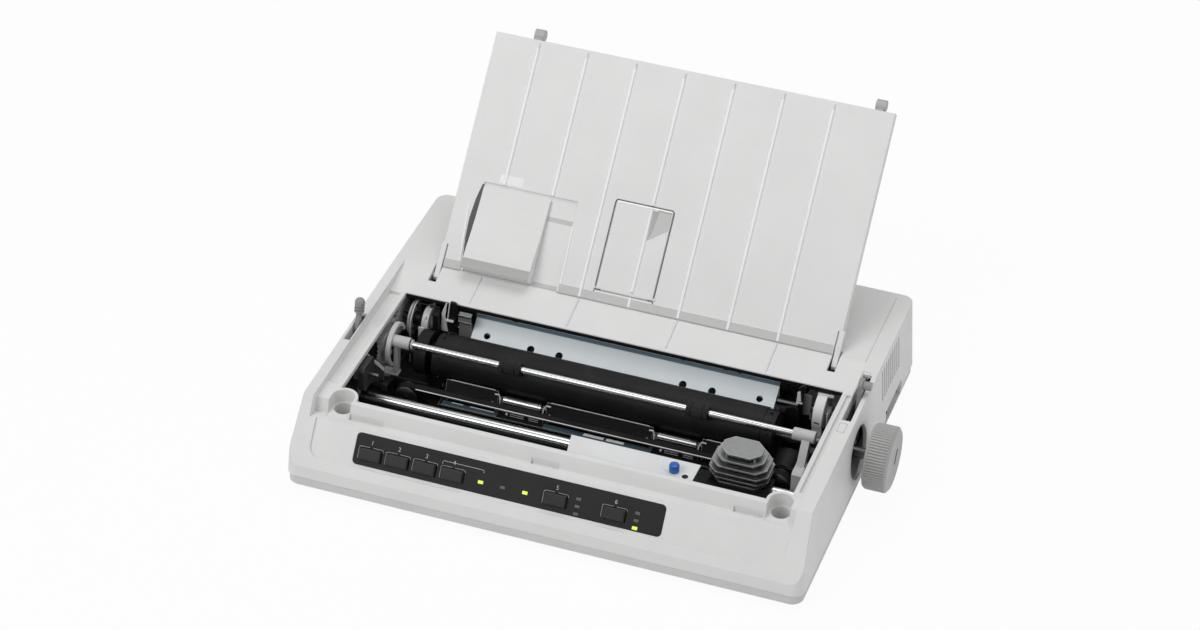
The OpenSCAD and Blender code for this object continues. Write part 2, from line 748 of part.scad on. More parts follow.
guide_top = [tractor_c[0] + 5.7, rim_under_z - 4.3];
guide_low = [platen_y + platen_r + 2.8, platen_z];
guide_x = [-107, 112];
guide_t = 1.2;
guide_bend = [guide_top[0] - guide_t, guide_top[1] - 3.6];
guide_slope = atan2(guide_bend[1] - guide_low[1], guide_bend[0] - guide_low[0]);

// Frame of the sloping face of the guide plate: Y up the slope
module on_guide() {
    translate([0, guide_low[0], guide_low[1]]) rotate([guide_slope, 0, 0]) children();
}

module rear_guide_plate() color("#c8d6de") place() difference() {
    x_extrude(guide_x[0], guide_x[1]) polygon([
        guide_low, [guide_low[0] + 0.7, guide_low[1] - 0.7], [guide_bend[0], guide_bend[1] - guide_t],
        [guide_bend[0], deck_z], [guide_top[0] + 7, deck_z], [guide_top[0] + 7, deck_z + guide_t],
        [guide_top[0], deck_z + guide_t], guide_top, [guide_bend[0], guide_top[1]], guide_bend
    ]);
    // Round holes near both ends, sensor holes beside the platen and notches in the top edge
    for (x = [guide_x[0] + 11, guide_x[1] - 11]) on_guide() translate([x, 8.3, -4]) cylinder(h = 8, r = 2.3);
    for (x = [-63.3, -42.6, 46.9, 67.8]) on_guide() translate([x, 6, -4]) cylinder(h = 8, r = 2.7);
    for (x = [-78.5, 42.8, 73.6, 83.2])
        box([x - 1.5, x + 1.5], [guide_bend[0] - 1, guide_top[0] + 1],
            [guide_top[1] - 1.2, guide_top[1] + 1]);
}

module arc_band(c, r0, r1, a0, a1) {
    n = 16;
    polygon(concat(
        [for (i = [0:n]) polar_yz(c, r1, a0 + (a1 - a0) * i / n)],
        [for (i = [n:-1:0]) polar_yz(c, r0, a0 + (a1 - a0) * i / n)]
    ));
}

module paper_chute() color("#3a3d40") place() {
    x_extrude(-platen_len / 2 + 5, platen_len / 2 - 5)
        arc_band(platen_c, chute_r, chute_r + chute_t, 236, 330);
    leg_y = [press_pivot[0] + 3.5, press_pivot[0] + 9];
    leg_hw = platen_len / 2 - 13;
    for (x = [-leg_hw, -leg_hw / 3, leg_hw / 3, leg_hw])
        box([x - 1, x + 1], leg_y, [deck_z, platen_z - chute_r - 0.6]);
    box([-leg_hw - 1, leg_hw + 1], leg_y, [deck_z, deck_z + 1.5]);
}

// ---- Platen and gear train ----

module platen_roller() color("#25272a") place() {
    difference() {
        union() {
            rod_x(-platen_len / 2, platen_len / 2, platen_c, platen_r);
            both_sides() rod_x(platen_len / 2 - 0.1, platen_len / 2 + sprocket_w, platen_c, sprocket_r);
            rod_x(collar_x0, collar_x0 + sprocket_w, platen_c, sprocket_r);
            rod_x(collar_x0, -platen_len / 2, platen_c, shaft_r + 4);
        }
        rod_x(-platen_len, platen_len, platen_c, shaft_r + fit);
    }
    // Feed pins at both ends
    for (s = [-1, 1], a = [0:30:330]) translate([s * (platen_len / 2 + sprocket_w / 2), platen_y, platen_z])
        rotate([a, 0, 0]) translate([0, 0, sprocket_r - 1]) cylinder(h = 2.2, r1 = 1.3, r2 = 0.8, $fn = 16);
}

module platen_shaft() color("lightsteelblue") place() {
    rod_x(-frame_out - 2.7, knob_x1 - 3, platen_c, shaft_r);
}

module platen_knob() color("#b0b0b0") place() translate([knob_x0, platen_y, platen_z]) rotate([0, 90, 0])
    difference() {
        knob_r = knob_d / 2;
        union() {
            rotate_extrude() polygon([
                [0, 0], [knob_r - 2.2, 0], [knob_r - 1.2, 1], [knob_r - 1.2, knob_w - 1.5],
                [knob_r - 2.7, knob_w], [knob_r - 5, knob_w], [knob_r - 6, knob_w - 2], [0, knob_w - 2]]);
            for (i = [0:23]) rotate([0, 0, i * 15]) translate([knob_r - 1.6, -1.2, 1.2])
                cube([1.6, 2.4, knob_w - 3.2]);
        }
        translate([0, 0, -1]) cylinder(h = knob_w - 2, r = shaft_r + fit);
    }

// Spur gear outline with teeth a little thinner than the gaps
module gear_outline(n, phase) {
    rp = pitch_r(n);
    ro = rp + 0.8 * gear_module;
    rr = rp - 1.2 * gear_module;
    p = 360 / n;
    polygon([for (i = [0:n - 1], q = [[-0.3, rr], [-0.2, rp], [-0.1, ro], [0.1, ro], [0.2, rp], [0.3, rr]])
        let (a = phase + (i + q[0]) * p) [q[1] * cos(a), q[1] * sin(a)]]);
}

module gear(c, n, phase, bore) {
    difference() {
        x_extrude(gear_x0, gear_x1) translate(c) gear_outline(n, phase);
        rod_x(gear_x0 - 1, gear_x1 + 1, c, bore);
    }
}

module platen_gear() color("#e8e4d8") place() difference() {
    gear(platen_c, platen_teeth, 0, shaft_r + fit);
    difference() {
        rod_x(gear_x1 - 1.2, gear_x1 + 1, platen_c, pitch_r(platen_teeth) - 3);
        rod_x(gear_x1 - 3, gear_x1 + 2, platen_c, shaft_r + 2.5);
    }
}

module idler_gear() color("#e8e4d8") place() gear(idler_c, idler_teeth, idler_phase, stud_r + fit);

pinion_phase = mesh_phase(idler_phase, idler_teeth, pinion_dir, pinion_teeth);
tractor_phase = mesh_phase(0, platen_teeth, tractor_dir, tractor_teeth);

module motor_pinion() color("#d8c27a") place() {
    gear(pinion_c, pinion_teeth, pinion_phase, motor_shaft_r - 0.5);
    rod_x(gear_x0, motor_x1 - 3, pinion_c, motor_shaft_r);
}

module line_feed_motor() color("#6f7478") place() difference() {
    union() {
        rod_x(motor_x0 - 0.1, motor_x1, pinion_c, motor_r);
        hull() for (p = concat(motor_posts, [[pinion_c[0] + 8, pinion_c[1]]]))
            rod_x(motor_x0 - motor_plate_t, motor_x0, p, 3.5);
    }
    rod_x(motor_x0 - 3, motor_x1 - 2.5, pinion_c, motor_shaft_r + fit);
    for (p = motor_posts) rod_x(motor_x0 - 3, motor_x0 + 0.01 - motor_plate_t / 2, p, 0.8);
}

module tractor_shaft() color("lightsteelblue") place()
    rod_x(-frame_out - 1, frame_out + 0.6, tractor_c, tractor_r);

module tractor_gear() color("#e8e4d8") place() gear(tractor_c, tractor_teeth, tractor_phase, tractor_r + fit);

// Drum with a row of pins round its middle
module pin_wheel(x) {
    mid = (x[0] + x[1]) / 2;
    difference() {
        union() {
            rod_x(x[0], x[1], tractor_c, wheel_r);
            rod_x(x[0] - 3, x[1] + 3, tractor_c, tractor_r + 2);
        }
        rod_x(x[0] - 5, x[1] + 5, tractor_c, tractor_r + fit);
    }
    for (a = [0:45:315]) translate([mid, tractor_c[0], tractor_c[1]]) rotate([a, 0, 0])
        translate([0, 0, wheel_r - 0.5]) cylinder(h = 2, r1 = 0.9, r2 = 0.5, $fn = 16);
}

module pin_wheel_left() color("gainsboro") place() {
    pin_wheel([-145, -139]);
    // Thin disc beside the drum
    difference() {
        rod_x(-153, -151.4, tractor_c, wheel_r + 1);
        rod_x(-160, -150, tractor_c, tractor_r + fit);
    }
}

module pin_wheel_right() color("gainsboro") place() pin_wheel([141.5, 147.5]);

// ---- Pressure rollers and levers ----

module press_bracket(x) {
    x_extrude(x - 0.8, x + 0.8) polygon([[press_pivot[0] - 14, deck_z + 3], [press_pivot[0] - 4, deck_z + 3],
        [press_c[0] + 2.6, press_c[1] + 1], [press_c[0], press_c[1] + 2.6], [press_c[0] - 2.8, press_c[1]]]);
}

// Bent sheet in front of the platen, with a lip along its lower edge
module shield_outline() {
    polygon([
        [shield_y, press_pivot[1] + 2.6], [shield_y + 2.4, press_pivot[1] + 3.4],
        [shield_y + 2.4, press_pivot[1] + 8.1], [shield_y + 5.6, press_pivot[1] + 14.8],
        [shield_y + 4.4, press_pivot[1] + 15.6], [shield_y + 1.4, press_pivot[1] + 8.6],
        [shield_y + 1.4, press_pivot[1] + 4.4], [shield_y, press_pivot[1] + 3.8]
    ]);
}

module pressure_frame() color("slategray") place() {
    base_z = [press_pivot[1] - 0.6, press_pivot[1] + 0.6];
    box([-press_half, press_half], [belt_y + belt_w / 2 + 0.8, press_pivot[0] - 1.5], base_z);
    both_sides() rod_x(press_half - 6, press_ear[1] + 1, press_pivot, motor_shaft_r);
    both_sides() rod_x(press_half - 6, press_half, press_pivot, 2.2);
    difference() {
        for (x = press_x, d = [-1, 1]) press_bracket(x + d * (press_len / 2 + 1.5));
        rod_x(-press_half, press_half, press_c, motor_shaft_r + fit);
    }
    for (x = shield_x) {
        x_extrude(x[0], x[1]) shield_outline();
        for (e = [x[0], x[1] - 1.6])
            box([e, e + 1.6], [shield_y + 1.3, shield_y + 4], [base_z[0] + 0.1, press_pivot[1] + 5]);
    }
}

module pressure_rollers() color("#1f2123") place() {
    for (x = press_x) rod_x(x - press_len / 2, x + press_len / 2, press_c, press_r);
    rod_x(press_x[0] - press_len / 2 - 4, press_x[1] + press_len / 2 + 4, press_c, motor_shaft_r);
}

module release_lever() color("#8e9296") place() {
    difference() {
        union() {
            x_extrude(release_x, release_x + lever_t) polygon([
                [release_c[0] - 4.5, release_c[1] - 3], [release_c[0] + 4.5, release_c[1] - 3],
                [platen_y - 19.6, top_z - 4], [platen_y - 17, top_z + 6],
                [platen_y - 20.5, top_z + 6.5], [platen_y - 25.2, top_z - 4]]);
            rod_x(release_x, release_x + lever_t, release_c, 5);
        }
        rod_x(release_x - 1, release_x + lever_t + 1, release_c, stud_r + fit);
    }
    translate([release_x + lever_t / 2, platen_y - 19.4, top_z + 5]) rotate([-14, 0, 0]) {
        cylinder(h = 6.5, r1 = 2.4, r2 = 2.8);
        for (z = [1.2, 3.4, 5.6]) translate([0, 0, z]) cylinder(h = 1, r = 3.5);
        translate([0, 0, 8]) sphere(r = 3.6, $fn = 32);
    }
}

module bail_lever() color("#8e9296") place() {
    difference() {
        x_extrude(bail_lever_x, bail_lever_x + lever_t) union() {
            hull() {
                translate(bail_lever_c) circle(5);
                translate([platen_y + 22.5, top_z - 2]) circle(3);
            }
            hull() {
                translate([platen_y + 22.5, top_z - 2]) circle(3);
                translate([platen_y + 24, top_z + 7]) circle(4.4);
            }
        }
        rod_x(bail_lever_x - 1, bail_lever_x + lever_t + 1, bail_lever_c, stud_r + fit);
    }
    rod_x(bail_lever_x + 0.5, bail_lever_x + lever_t + 5.7, [platen_y + 24, top_z + 7], 3);
}

// ---- Paper bail ----

module bail_arm(k) {
    x0 = bail_arm_x - bail_arm_t / 2;
    x1 = bail_arm_x + bail_arm_t / 2;
    difference() {
        union() {
            x_extrude(bail_web_x[0], bail_web_x[1]) hull() {
                translate(bail_pivot) circle(3.4, $fn = 32);
                translate(bail_c) circle(3.4, $fn = 32);
            }
            rod_x(bail_hub_x0, bail_hub_x1, bail_c, bail_hub_r);
            rod_x(x0, x1 + 1, bail_pivot, 4.2);
            rod_x(x1, frame_out + 0.8, bail_pivot, pivot_r);
        }
        rod_x(bail_hub_x0 - 1, bail_hub_x1 - 1.5, bail_c, bail_rod_r + fit);
    }
    // Hook round the end of the platen on the left arm
    if (k < 0) x_extrude(x1 - 1.2, bail_hub_x1 - 0.2)
        arc_band(bail_ring_c, bail_ring_r - bail_ring_w, bail_ring_r, 15, 240);
}

module bail_arm_left() color("#9a9ea2") place() mirror([1, 0, 0]) bail_arm(-1);
module bail_arm_right() color("#9a9ea2") place() bail_arm(1);

module bail_rod() color("silver") place() difference() {
    rod_x(-bail_hub_x1 + 1.7, bail_hub_x1 - 1.7, bail_c, bail_rod_r);
    for (x = roller_x, d = [-1, 1]) translate([x + d * (bail_roller_len / 2 + 0.6) - 0.3, 0, 0])
        difference() {
            rod_x(0, 0.6, bail_c, bail_rod_r + 1);
            rod_x(-1, 2, bail_c, bail_rod_r - 0.25);
        }
}

module bail_roller(x) {
    difference() {
        rod_x(x - bail_roller_len / 2, x + bail_roller_len / 2, bail_c, bail_roller_r);
        rod_x(x - bail_roller_len, x + bail_roller_len, bail_c, bail_rod_r + fit);
    }
}

module bail_roller_left() color("#2a2c2f") place() bail_roller(roller_x[0]);
module bail_roller_right() color("#2a2c2f") place() bail_roller(roller_x[1]);

// ---- Carriage ----

module carriage_rail() color("silver") place() rod_x(-frame_out, frame_out, rail_c, rail_r);
module front_rail() color("silver") place() rod_x(-frame_out, frame_out, front_rail_c, front_rail_r);

carriage_hw = 21;
clamp_x = [head_x - 4, head_x + 5];
belt_top = belt_z + belt_in_r + belt_t;
jaw_top = belt_top + gap + 1.4;

module carriage() color("#2b2d30") place() difference() {
    union() {
        box([head_x - carriage_hw, head_x + carriage_hw], [rail_c[0] - 7, rail_c[0] + 7],
            [rail_c[1] - 6.5, stack_z]);
        box([head_x - carriage_hw, head_x + carriage_hw], [front_rail_c[0] - 5, front_rail_c[0] + 5],
            [front_rail_c[1] - 5, front_rail_c[1] + 5]);
        box([head_x - carriage_hw, head_x + carriage_hw], [front_rail_c[0], rail_c[0]],
            [front_rail_c[1] + 2.5, front_rail_c[1] + 5]);
        // Jaws of the belt clamp
        box(clamp_x, [rail_c[0] + 6, belt_y + 3.2], [belt_top - belt_t - gap - 1.6, belt_top - belt_t - gap]);
        box(clamp_x, [rail_c[0] + 5, belt_y + 3.2], [belt_top + gap, jaw_top]);
        box(clamp_x, [rail_c[0] + 4, belt_y - belt_w / 2 - gap], [stack_z - 3, jaw_top]);
    }
    rod_x(head_x - 30, head_x + 30, rail_c, rail_r + fit);
    rod_x(head_x - 30, head_x + 30, front_rail_c, front_rail_r + fit);
}

module octagon(w, d, c) {
    polygon([[-w / 2, -d / 2 + c], [-w / 2 + c, -d / 2], [w / 2 - c, -d / 2], [w / 2, -d / 2 + c],
        [w / 2, d / 2 - c], [w / 2 - c, d / 2], [-w / 2 + c, d / 2], [-w / 2, d / 2 - c]]);
}

// Width and depth of each plate as a share of the largest, and how far it sits forward
fin_size = [[0.69, 0.76, 0], [0.83, 0.88, 0], [0.95, 0.96, 0], [1, 1, 0], [0.98, 0.9, 0.5], [0.9, 0.53, 4]];

module print_head() color("#7d8084") place() translate([head_x, 0, 0]) {
    difference() {
        union() {
            translate([0, fin_y - 2.5, stack_z + 0.05]) linear_extrude(head_top_z - stack_z - 1.1)
                octagon(24, 15, 5);
            for (i = [0:fin_last]) translate([0, fin_y - fin_size[i][2], head_top_z - fin_t - i * fin_pitch])
                linear_extrude(fin_t) octagon(fin_w * fin_size[i][0], fin_d * fin_size[i][1], 6);
        }
        // Room for the belt clamp
        box([clamp_x[0] - head_x - gap, clamp_x[1] - head_x + gap], [rail_c[0] + 3.5, platen_y],
            [0, jaw_top + 0.05]);
    }
    // Nose with the wire guide
    x_extrude(-7, 7) polygon([
        [fin_y + 4, platen_z + 5], [fin_y + 4, belt_top + 2], [nose_y - 4, belt_top + 2],
        [nose_y, platen_z - 3], [nose_y, platen_z + 3], [nose_y - 3, platen_z + 5]]);
}

module cable_cover() color("#d9dcde") place() difference() {
    union() {
        box(cover_plate_x, [open_front_y + 8.4, cover_plate_y1], [cover_plate_z, cover_plate_z + chassis_t]);
        box(cover_plate_x, [chassis_y0 + 1.5, chassis_y0 + 2.7], [deck_z, cover_plate_z + 0.1]);
        box(cover_plate_x, [chassis_y0 + 1.5, chassis_y0 + 6], [deck_z, deck_z + 1.2]);
    }
    hull() for (d = [-1, 1]) translate([lever_peg_x + d * 5, rail_c[0] - 21, cover_plate_z - 1])
        cylinder(h = 5, r = 3 + gap, $fn = 32);
    translate([lever_peg_x + 12, cover_plate_y1 - 13.5, cover_plate_z - 1]) cylinder(h = 5, r = 2);
}

module gap_lever() color("#1565c0") place() translate([lever_peg_x, rail_c[0] - 21, cover_plate_z]) {
    translate([0, 0, -1.5]) cylinder(h = 7.5, r = 3);
    translate([0, 0, -1.5]) cylinder(h = 1.2, r = 4.6);
    translate([0, 0, chassis_t + gap]) cylinder(h = 1, r = 4.2);
}

module belt_outline(r) {
    hull() for (s = [-1, 1]) translate([s * pulley_x, belt_z]) circle(r);
}

module carriage_belt() color("#1c1c1c") place() translate([0, belt_y + belt_w / 2, 0]) rotate([90, 0, 0])
    linear_extrude(belt_w) difference() {
        belt_outline(belt_in_r + belt_t);
        belt_outline(belt_in_r);
    }

module pulley(x, bore) {
    difference() {
        union() {
            rod_y(belt_y - pulley_w / 2 - 1, belt_y + pulley_w / 2 + 1, x, belt_z, pulley_r);
            rod_y(belt_y - pulley_w / 2 - 1, belt_y - pulley_w / 2 - 0.1, x, belt_z, pulley_r + 1.5);
            rod_y(belt_y + pulley_w / 2 + 0.1, belt_y + pulley_w / 2 + 1, x, belt_z, pulley_r + 1.5);
        }
        rod_y(belt_y - 10, belt_y + 10, x, belt_z, bore);
    }
}

module drive_pulley() color("#d8c27a") place() {
    pulley(pulley_x, motor_shaft_r - 0.5);
    rod_y(belt_y - pulley_w / 2 - 1, platen_y - 8, pulley_x, belt_z, motor_shaft_r);
}

module idler_pulley() color("#d8c27a") place() pulley(-pulley_x, stud_r + fit);

module carriage_motor() color("#6f7478") place() difference() {
    rod_y(tab_y + chassis_t, platen_y - 5.6, pulley_x, belt_z, 10.3);
    rod_y(tab_y - 1, platen_y - 7, pulley_x, belt_z, motor_shaft_r + fit);
}

// ---- Paper separator ----

win_x = [flap_x0 - 0.4, flap_x0 + flap_w + 0.4];
guide_x1 = guide_x0 + guide_w;
tongue_x = [guide_x0 + 21, guide_x0 + 31];
tongue_u = [35, 39];
rib_u1 = sep_len - 1.5;

// Outline drawn in u along the plate and w out of its face, extruded along X
module sep_extrude(x0, x1) {
    on_separator() translate([x0, 0, 0]) rotate([90, 0, 90]) linear_extrude(x1 - x0) children();
}

module sep_rib(x, u0) {
    sep_extrude(x - rib_w / 2, x + rib_w / 2) polygon([[u0, sep_face - 0.5], [u0 + 1, sep_face + rib_h],
        [rib_u1 - 1, sep_face + rib_h], [rib_u1, sep_face - 0.5]]);
}

module sep_leg() {
    sep_extrude(leg_x0, leg_x1) polygon([[-3.4, -1.6], [-3.4, 1.6], [-1.5, 3.4], [4, sep_face + 0.6],
        [leg_u, sep_face], [leg_u, -flange_d], [leg_u - 6, -2.2], [2, -2.6]]);
    sep_extrude(leg_x0, leg_x0 + 2.2) polygon([[leg_u - 1, -flange_d], [sep_len, -flange_d],
        [sep_len, sep_face - sep_t + 0.5], [leg_u - 1, sep_face - sep_t + 0.5]]);
    rod_x(leg_x0, ear_x + ear_t + 0.5, [sep_y, sep_z], pin_r);
}

// Prop that rests on the deck behind the plate
module sep_prop() {
    x_extrude(leg_x0, leg_x0 + 2.2) polygon([[sep_y + 15, top_z + gap], [sep_y + 20, top_z + gap],
        [sep_pt(44, -4)[0], sep_pt(44, -4)[1]], [sep_pt(36, -4)[0], sep_pt(36, -4)[1]]]);
}

module separator_plate() color("whitesmoke") place() {
    difference() {
        union() {
            sep_extrude(-sep_hw, sep_hw) polygon([
                [sep_u0, sep_face], [sep_u0 + sep_t * 0.9, sep_face - sep_t],
                [sep_len, sep_face - sep_t], [sep_len, sep_face]]);
            // Band along the lower edge and rim along the top edge
            sep_extrude(track_x1 + 1, sep_hw) polygon([
                [sep_u0 + 0.4, sep_face - 0.5], [sep_u0, sep_face + 0.6],
                [sep_u0 + 6, sep_face + 0.6], [sep_u0 + 6.6, sep_face - 0.5]]);
            sep_extrude(-sep_hw, sep_hw) polygon([
                [sep_len - 2, sep_face - sep_t - 2], [sep_len, sep_face - sep_t - 2],
                [sep_len, sep_face], [sep_len - 2, sep_face]]);
            for (i = [0:6]) sep_rib(rib_x0 + i * rib_pitch, i < 2 ? track_u1 : sep_u0 + 0.5);
            both_sides() {
                sep_leg();
                sep_prop();
            }
            // Lips that carry the pins of the flap
            for (x = win_x) sep_extrude(x - 1.6, x + 1.6) translate([flap_u, sep_face - 1.1]) circle(1.6);
        }
        // Window of the flap
        on_separator() translate([win_x[0], flap_u - 1.7, -10])
            cube([win_x[1] - win_x[0], flap_len + 3.4, 20]);
        sep_extrude(win_x[0] - 1.4, win_x[1] + 1.4) translate([flap_u, sep_face - 1.1])
            circle(flap_pin_r + fit);
        // Track of the sheet guide and slot for its tongue
        on_separator() translate([guide_x0 - 0.6, 0, sep_face - track_d])
            cube([track_x1 - guide_x0 + 0.6, track_u1, 10]);
        on_separator() translate([tongue_x[0] - 0.5, tongue_u[0] - 0.3, -10])
            cube([tongue_x[1] - tongue_x[0] + guide_travel + 1, tongue_u[1] - tongue_u[0] + 0.6, 20]);
        // Slits beside the two legs
        both_sides() on_separator() translate([leg_x0 - 1, 0, -10]) cube([1, leg_u - 1, 20]);
    }
}

module separator_flap() color("whitesmoke") place() difference() {
    union() {
        sep_extrude(flap_x0, flap_x0 + flap_w) union() {
            translate([flap_u, sep_face - 1.1]) circle(1.1);
            polygon([[flap_u, sep_face - 2], [flap_u, sep_face], [flap_u + flap_len, sep_face],
                [flap_u + flap_len, sep_face - 2]]);
        }
        sep_extrude(flap_x0 - 1.4, flap_x0 + flap_w + 1.4) translate([flap_u, sep_face - 1.1])
            circle(flap_pin_r);
        sep_extrude(rib_x0 + 3 * rib_pitch - rib_w / 2, rib_x0 + 3 * rib_pitch + rib_w / 2)
            polygon([[flap_u + 1, sep_face - 0.5], [flap_u + 2, sep_face + rib_h],
                [flap_u + flap_len, sep_face + rib_h], [flap_u + flap_len, sep_face - 0.5]]);
    }
    // Finger dent
    on_separator() translate([0.5, flap_u + flap_len - 3.5, sep_face - 1]) cube([8, 5, 5]);
}

module sheet_guide() color("whitesmoke") place() {
    base = sep_face - track_d + gap;
    depth = sep_face + guide_depth;
    difference() {
        sep_extrude(guide_x0, guide_x1) polygon([
            [guide_u0 + guide_len, base], [guide_u0 + guide_len, base + 2], [guide_u0 + 52, base + 2.8],
            [guide_u0 + 40, base + 4.2], [guide_u0 + 28, base + 6.4], [guide_u0 + 16, base + 9.2],
            [guide_u0 + 7, depth - 1], [guide_u0 + 4.5, depth], [guide_u0 + 3.6, base]
        ]);
        sep_extrude(guide_x0 - 1, guide_x1 - 1.6) polygon([
            [guide_u0 + 54, base + 1.2], [guide_u0 + 40, base + 2.6], [guide_u0 + 28, base + 4.8],
            [guide_u0 + 16, base + 7.6], [guide_u0 + 7.4, depth - 2.8], [guide_u0 + 5.6, base + 1.2]
        ]);
    }
    // Tongue that holds the guide in its track
    on_separator() translate([tongue_x[0], tongue_u[0], sep_face - sep_t - 1.9])
        cube([tongue_x[1] - tongue_x[0], tongue_u[1] - tongue_u[0], sep_t + 1.9]);
    on_separator() translate([tongue_x[0], tongue_u[0] - 3, sep_face - sep_t - 1.9])
        cube([tongue_x[1] - tongue_x[0], tongue_u[1] - tongue_u[0] + 6, 1.5]);
}

module sheet_stops() color("#a4a8aa") place() for (x = stop_x) difference() {
    union() {
        sep_extrude(x - 3.5, x + 3.5) translate([stop_u, stop_w]) circle(stop_r, $fn = 32);
        sep_extrude(x - 2.5, x + 2.5) polygon([[sep_len, -2.4], [sep_len, 1.6], [stop_u, stop_w + 3.4],
            [stop_u, stop_w - 2.4]]);
    }
    on_separator() translate([x - 5, sep_len - 9.95, -15]) cube([10, 10, 30]);
}

// ---- Rear electronics ----

module ac_inlet() color("#222426") place() {
    x0 = inlet_x[0] + 0.4;
    z0 = inlet_z[0] + 0.4;
    w = inlet_x[1] - inlet_x[0] - 0.8;
    h = inlet_z[1] - inlet_z[0] - 0.8;
    difference() {
        union() {
            translate([x0, case_d - 20, z0]) cube([w, 20.1, h]);
            translate([x0 - 2.5, case_d + 0.05, z0 - 2]) cube([w + 5, 1.8, h + 4]);
        }
        translate([x0 + 1.6, case_d - 15, z0 + 1.8]) cube([w - 3.2, 30, h - 3.6]);
    }
    for (p = [[-7, -1.5], [0, 2.5], [7, -1.5]])
        translate([x0 + w / 2 + p[0] - 0.9, case_d - 16, z0 + h / 2 + p[1] - 2]) cube([1.8, 13, 4]);
}

module interface_connector() color("#3a5f8a") place() {
    x0 = plug_x[0] + 0.4;
    w = plug_x[1] - plug_x[0] - 0.8;
    difference() {
        union() {
            translate([x0, case_d - 17, plug_z[0] + 0.4]) cube([w, 15, plug_z[1] - plug_z[0] - 0.8]);
            translate([x0 + 4, case_d - 17, board_z + 1.6]) cube([w - 8, 4, plug_z[0] - board_z]);
        }
        translate([x0 + 9, case_d - 8, plug_z[0] + 2.6]) cube([w - 18, 20, plug_z[1] - plug_z[0] - 5.2]);
    }
    translate([x0 + 13, case_d - 9, plug_z[0] + 5.2]) cube([w - 26, 6, plug_z[1] - plug_z[0] - 10.4]);
}

module main_board() color("#2f6b3a") place() {
    box(board_x, board_y, [board_z, board_z + 1.6]);
    translate([board_x[0] + 30, board_y[0] + 12, board_z + 1.5]) cube([52, 16, 5]);
    translate([board_x[0] + 96, board_y[0] + 1, board_z + 1.5]) cube([40, 14, 4]);
    translate([board_x[0] + 150, board_y[0] + 12, board_z + 1.5]) cube([22, 22, 3.5]);
    for (i = [0:3]) translate([board_x[0] + 100 + 13 * i, board_y[0] + 24, board_z + 1.5])
        cylinder(h = 14, r = 5);
}

coil_x = [half_w - 110, half_w - 60];
coil_mid_y = (deck_y + case_d) / 2 - 8.5;
coil_y = [coil_mid_y - 22, coil_mid_y + 22];

module transformer() color("#54585c") place() {
    cx = (coil_x[0] + coil_x[1]) / 2;
    cy = (coil_y[0] + coil_y[1]) / 2;
    box(coil_x, [coil_y[0], coil_y[1]], [wall, wall + 2]);
    difference() {
        box([cx - 20, cx + 20], [cy - 11, cy + 11], [wall + 1.9, wall + 40]);
        for (d = [-1, 1])
            box([cx + d * 11.5 - 3.5, cx + d * 11.5 + 3.5], [cy - 12, cy + 12], [wall + 8, wall + 34]);
    }
    box([cx - 14.6, cx - 8.4], [cy - 16, cy + 16], [wall + 7.9, wall + 34.1]);
    box([cx + 8.4, cx + 14.6], [cy - 16, cy + 16], [wall + 7.9, wall + 34.1]);
    for (d = [-1, 1])
        box([cx - 14.6, cx + 14.6], [cy + d * 14 - 2, cy + d * 14 + 2], [wall + 7.9, wall + 34.1]);
}

bottom_pan();
rubber_feet();
top_cover();
cover_screws();
control_panel();
panel_board();
lit_indicators();
unlit_indicators();
line_feed_button();
form_feed_button();
top_of_form_button();
select_button();
pitch_button();
mode_button();
chassis_plate();
side_frame_left();
side_frame_right();
frame_screws();
platen_bushings();
rear_guide_plate();
paper_chute();
platen_roller();
platen_shaft();
platen_knob();
platen_gear();
idler_gear();
motor_pinion();
line_feed_motor();
tractor_shaft();
tractor_gear();
pin_wheel_left();
pin_wheel_right();
pressure_frame();
pressure_rollers();
release_lever();
bail_lever();
bail_arm_left();
bail_arm_right();
bail_rod();
bail_roller_left();
bail_roller_right();
carriage_rail();
front_rail();
carriage();
print_head();
cable_cover();
gap_lever();
carriage_belt();
drive_pulley();
idler_pulley();
carriage_motor();
separator_plate();
separator_flap();
sheet_guide();
sheet_stops();
power_switch();
ac_inlet();
interface_connector();
main_board();
transformer();
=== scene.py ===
"""Dot matrix printer: materials, fine pieces, light and camera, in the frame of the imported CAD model.

All coordinates are in metres in the part's frame. m() turns millimetres of the case frame (X from the
case's middle, Y from its front, Z from the bottom of its pan) into that frame.
"""
import math

import bmesh
import bpy
from mathutils import Matrix, Vector


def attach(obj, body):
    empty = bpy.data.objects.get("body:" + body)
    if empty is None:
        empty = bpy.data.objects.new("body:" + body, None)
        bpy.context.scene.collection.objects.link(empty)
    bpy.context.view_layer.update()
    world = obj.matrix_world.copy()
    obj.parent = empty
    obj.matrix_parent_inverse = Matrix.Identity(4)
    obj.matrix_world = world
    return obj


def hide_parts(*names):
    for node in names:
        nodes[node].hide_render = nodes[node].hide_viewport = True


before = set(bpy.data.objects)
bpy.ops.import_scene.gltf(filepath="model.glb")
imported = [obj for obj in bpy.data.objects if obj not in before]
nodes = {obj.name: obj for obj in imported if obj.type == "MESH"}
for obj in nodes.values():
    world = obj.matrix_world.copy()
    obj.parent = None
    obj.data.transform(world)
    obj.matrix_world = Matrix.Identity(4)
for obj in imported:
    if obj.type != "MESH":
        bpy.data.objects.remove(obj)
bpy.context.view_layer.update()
scene = bpy.context.scene

# ---- Shared measures, in millimetres of the case frame ----
SHIFT = Vector((-11.5106, -156.7216, 3.5))
SEP_ANGLE = math.radians(48.2)
SEP_Y, SEP_Z, SEP_FACE = 188.0, 54.0, 2.0
RIB_TOP = 170.0
SLOPE_ANGLE = math.atan2(57.5 - 17.6, 28.0)
LIP_Z = 17.6
PLATEN = (133.0, 29.5)
BAIL = (118.146, 45.044)
BAIL_PIVOT = (100.0, 18.0)
TRACTOR = (163.298, 33.006)

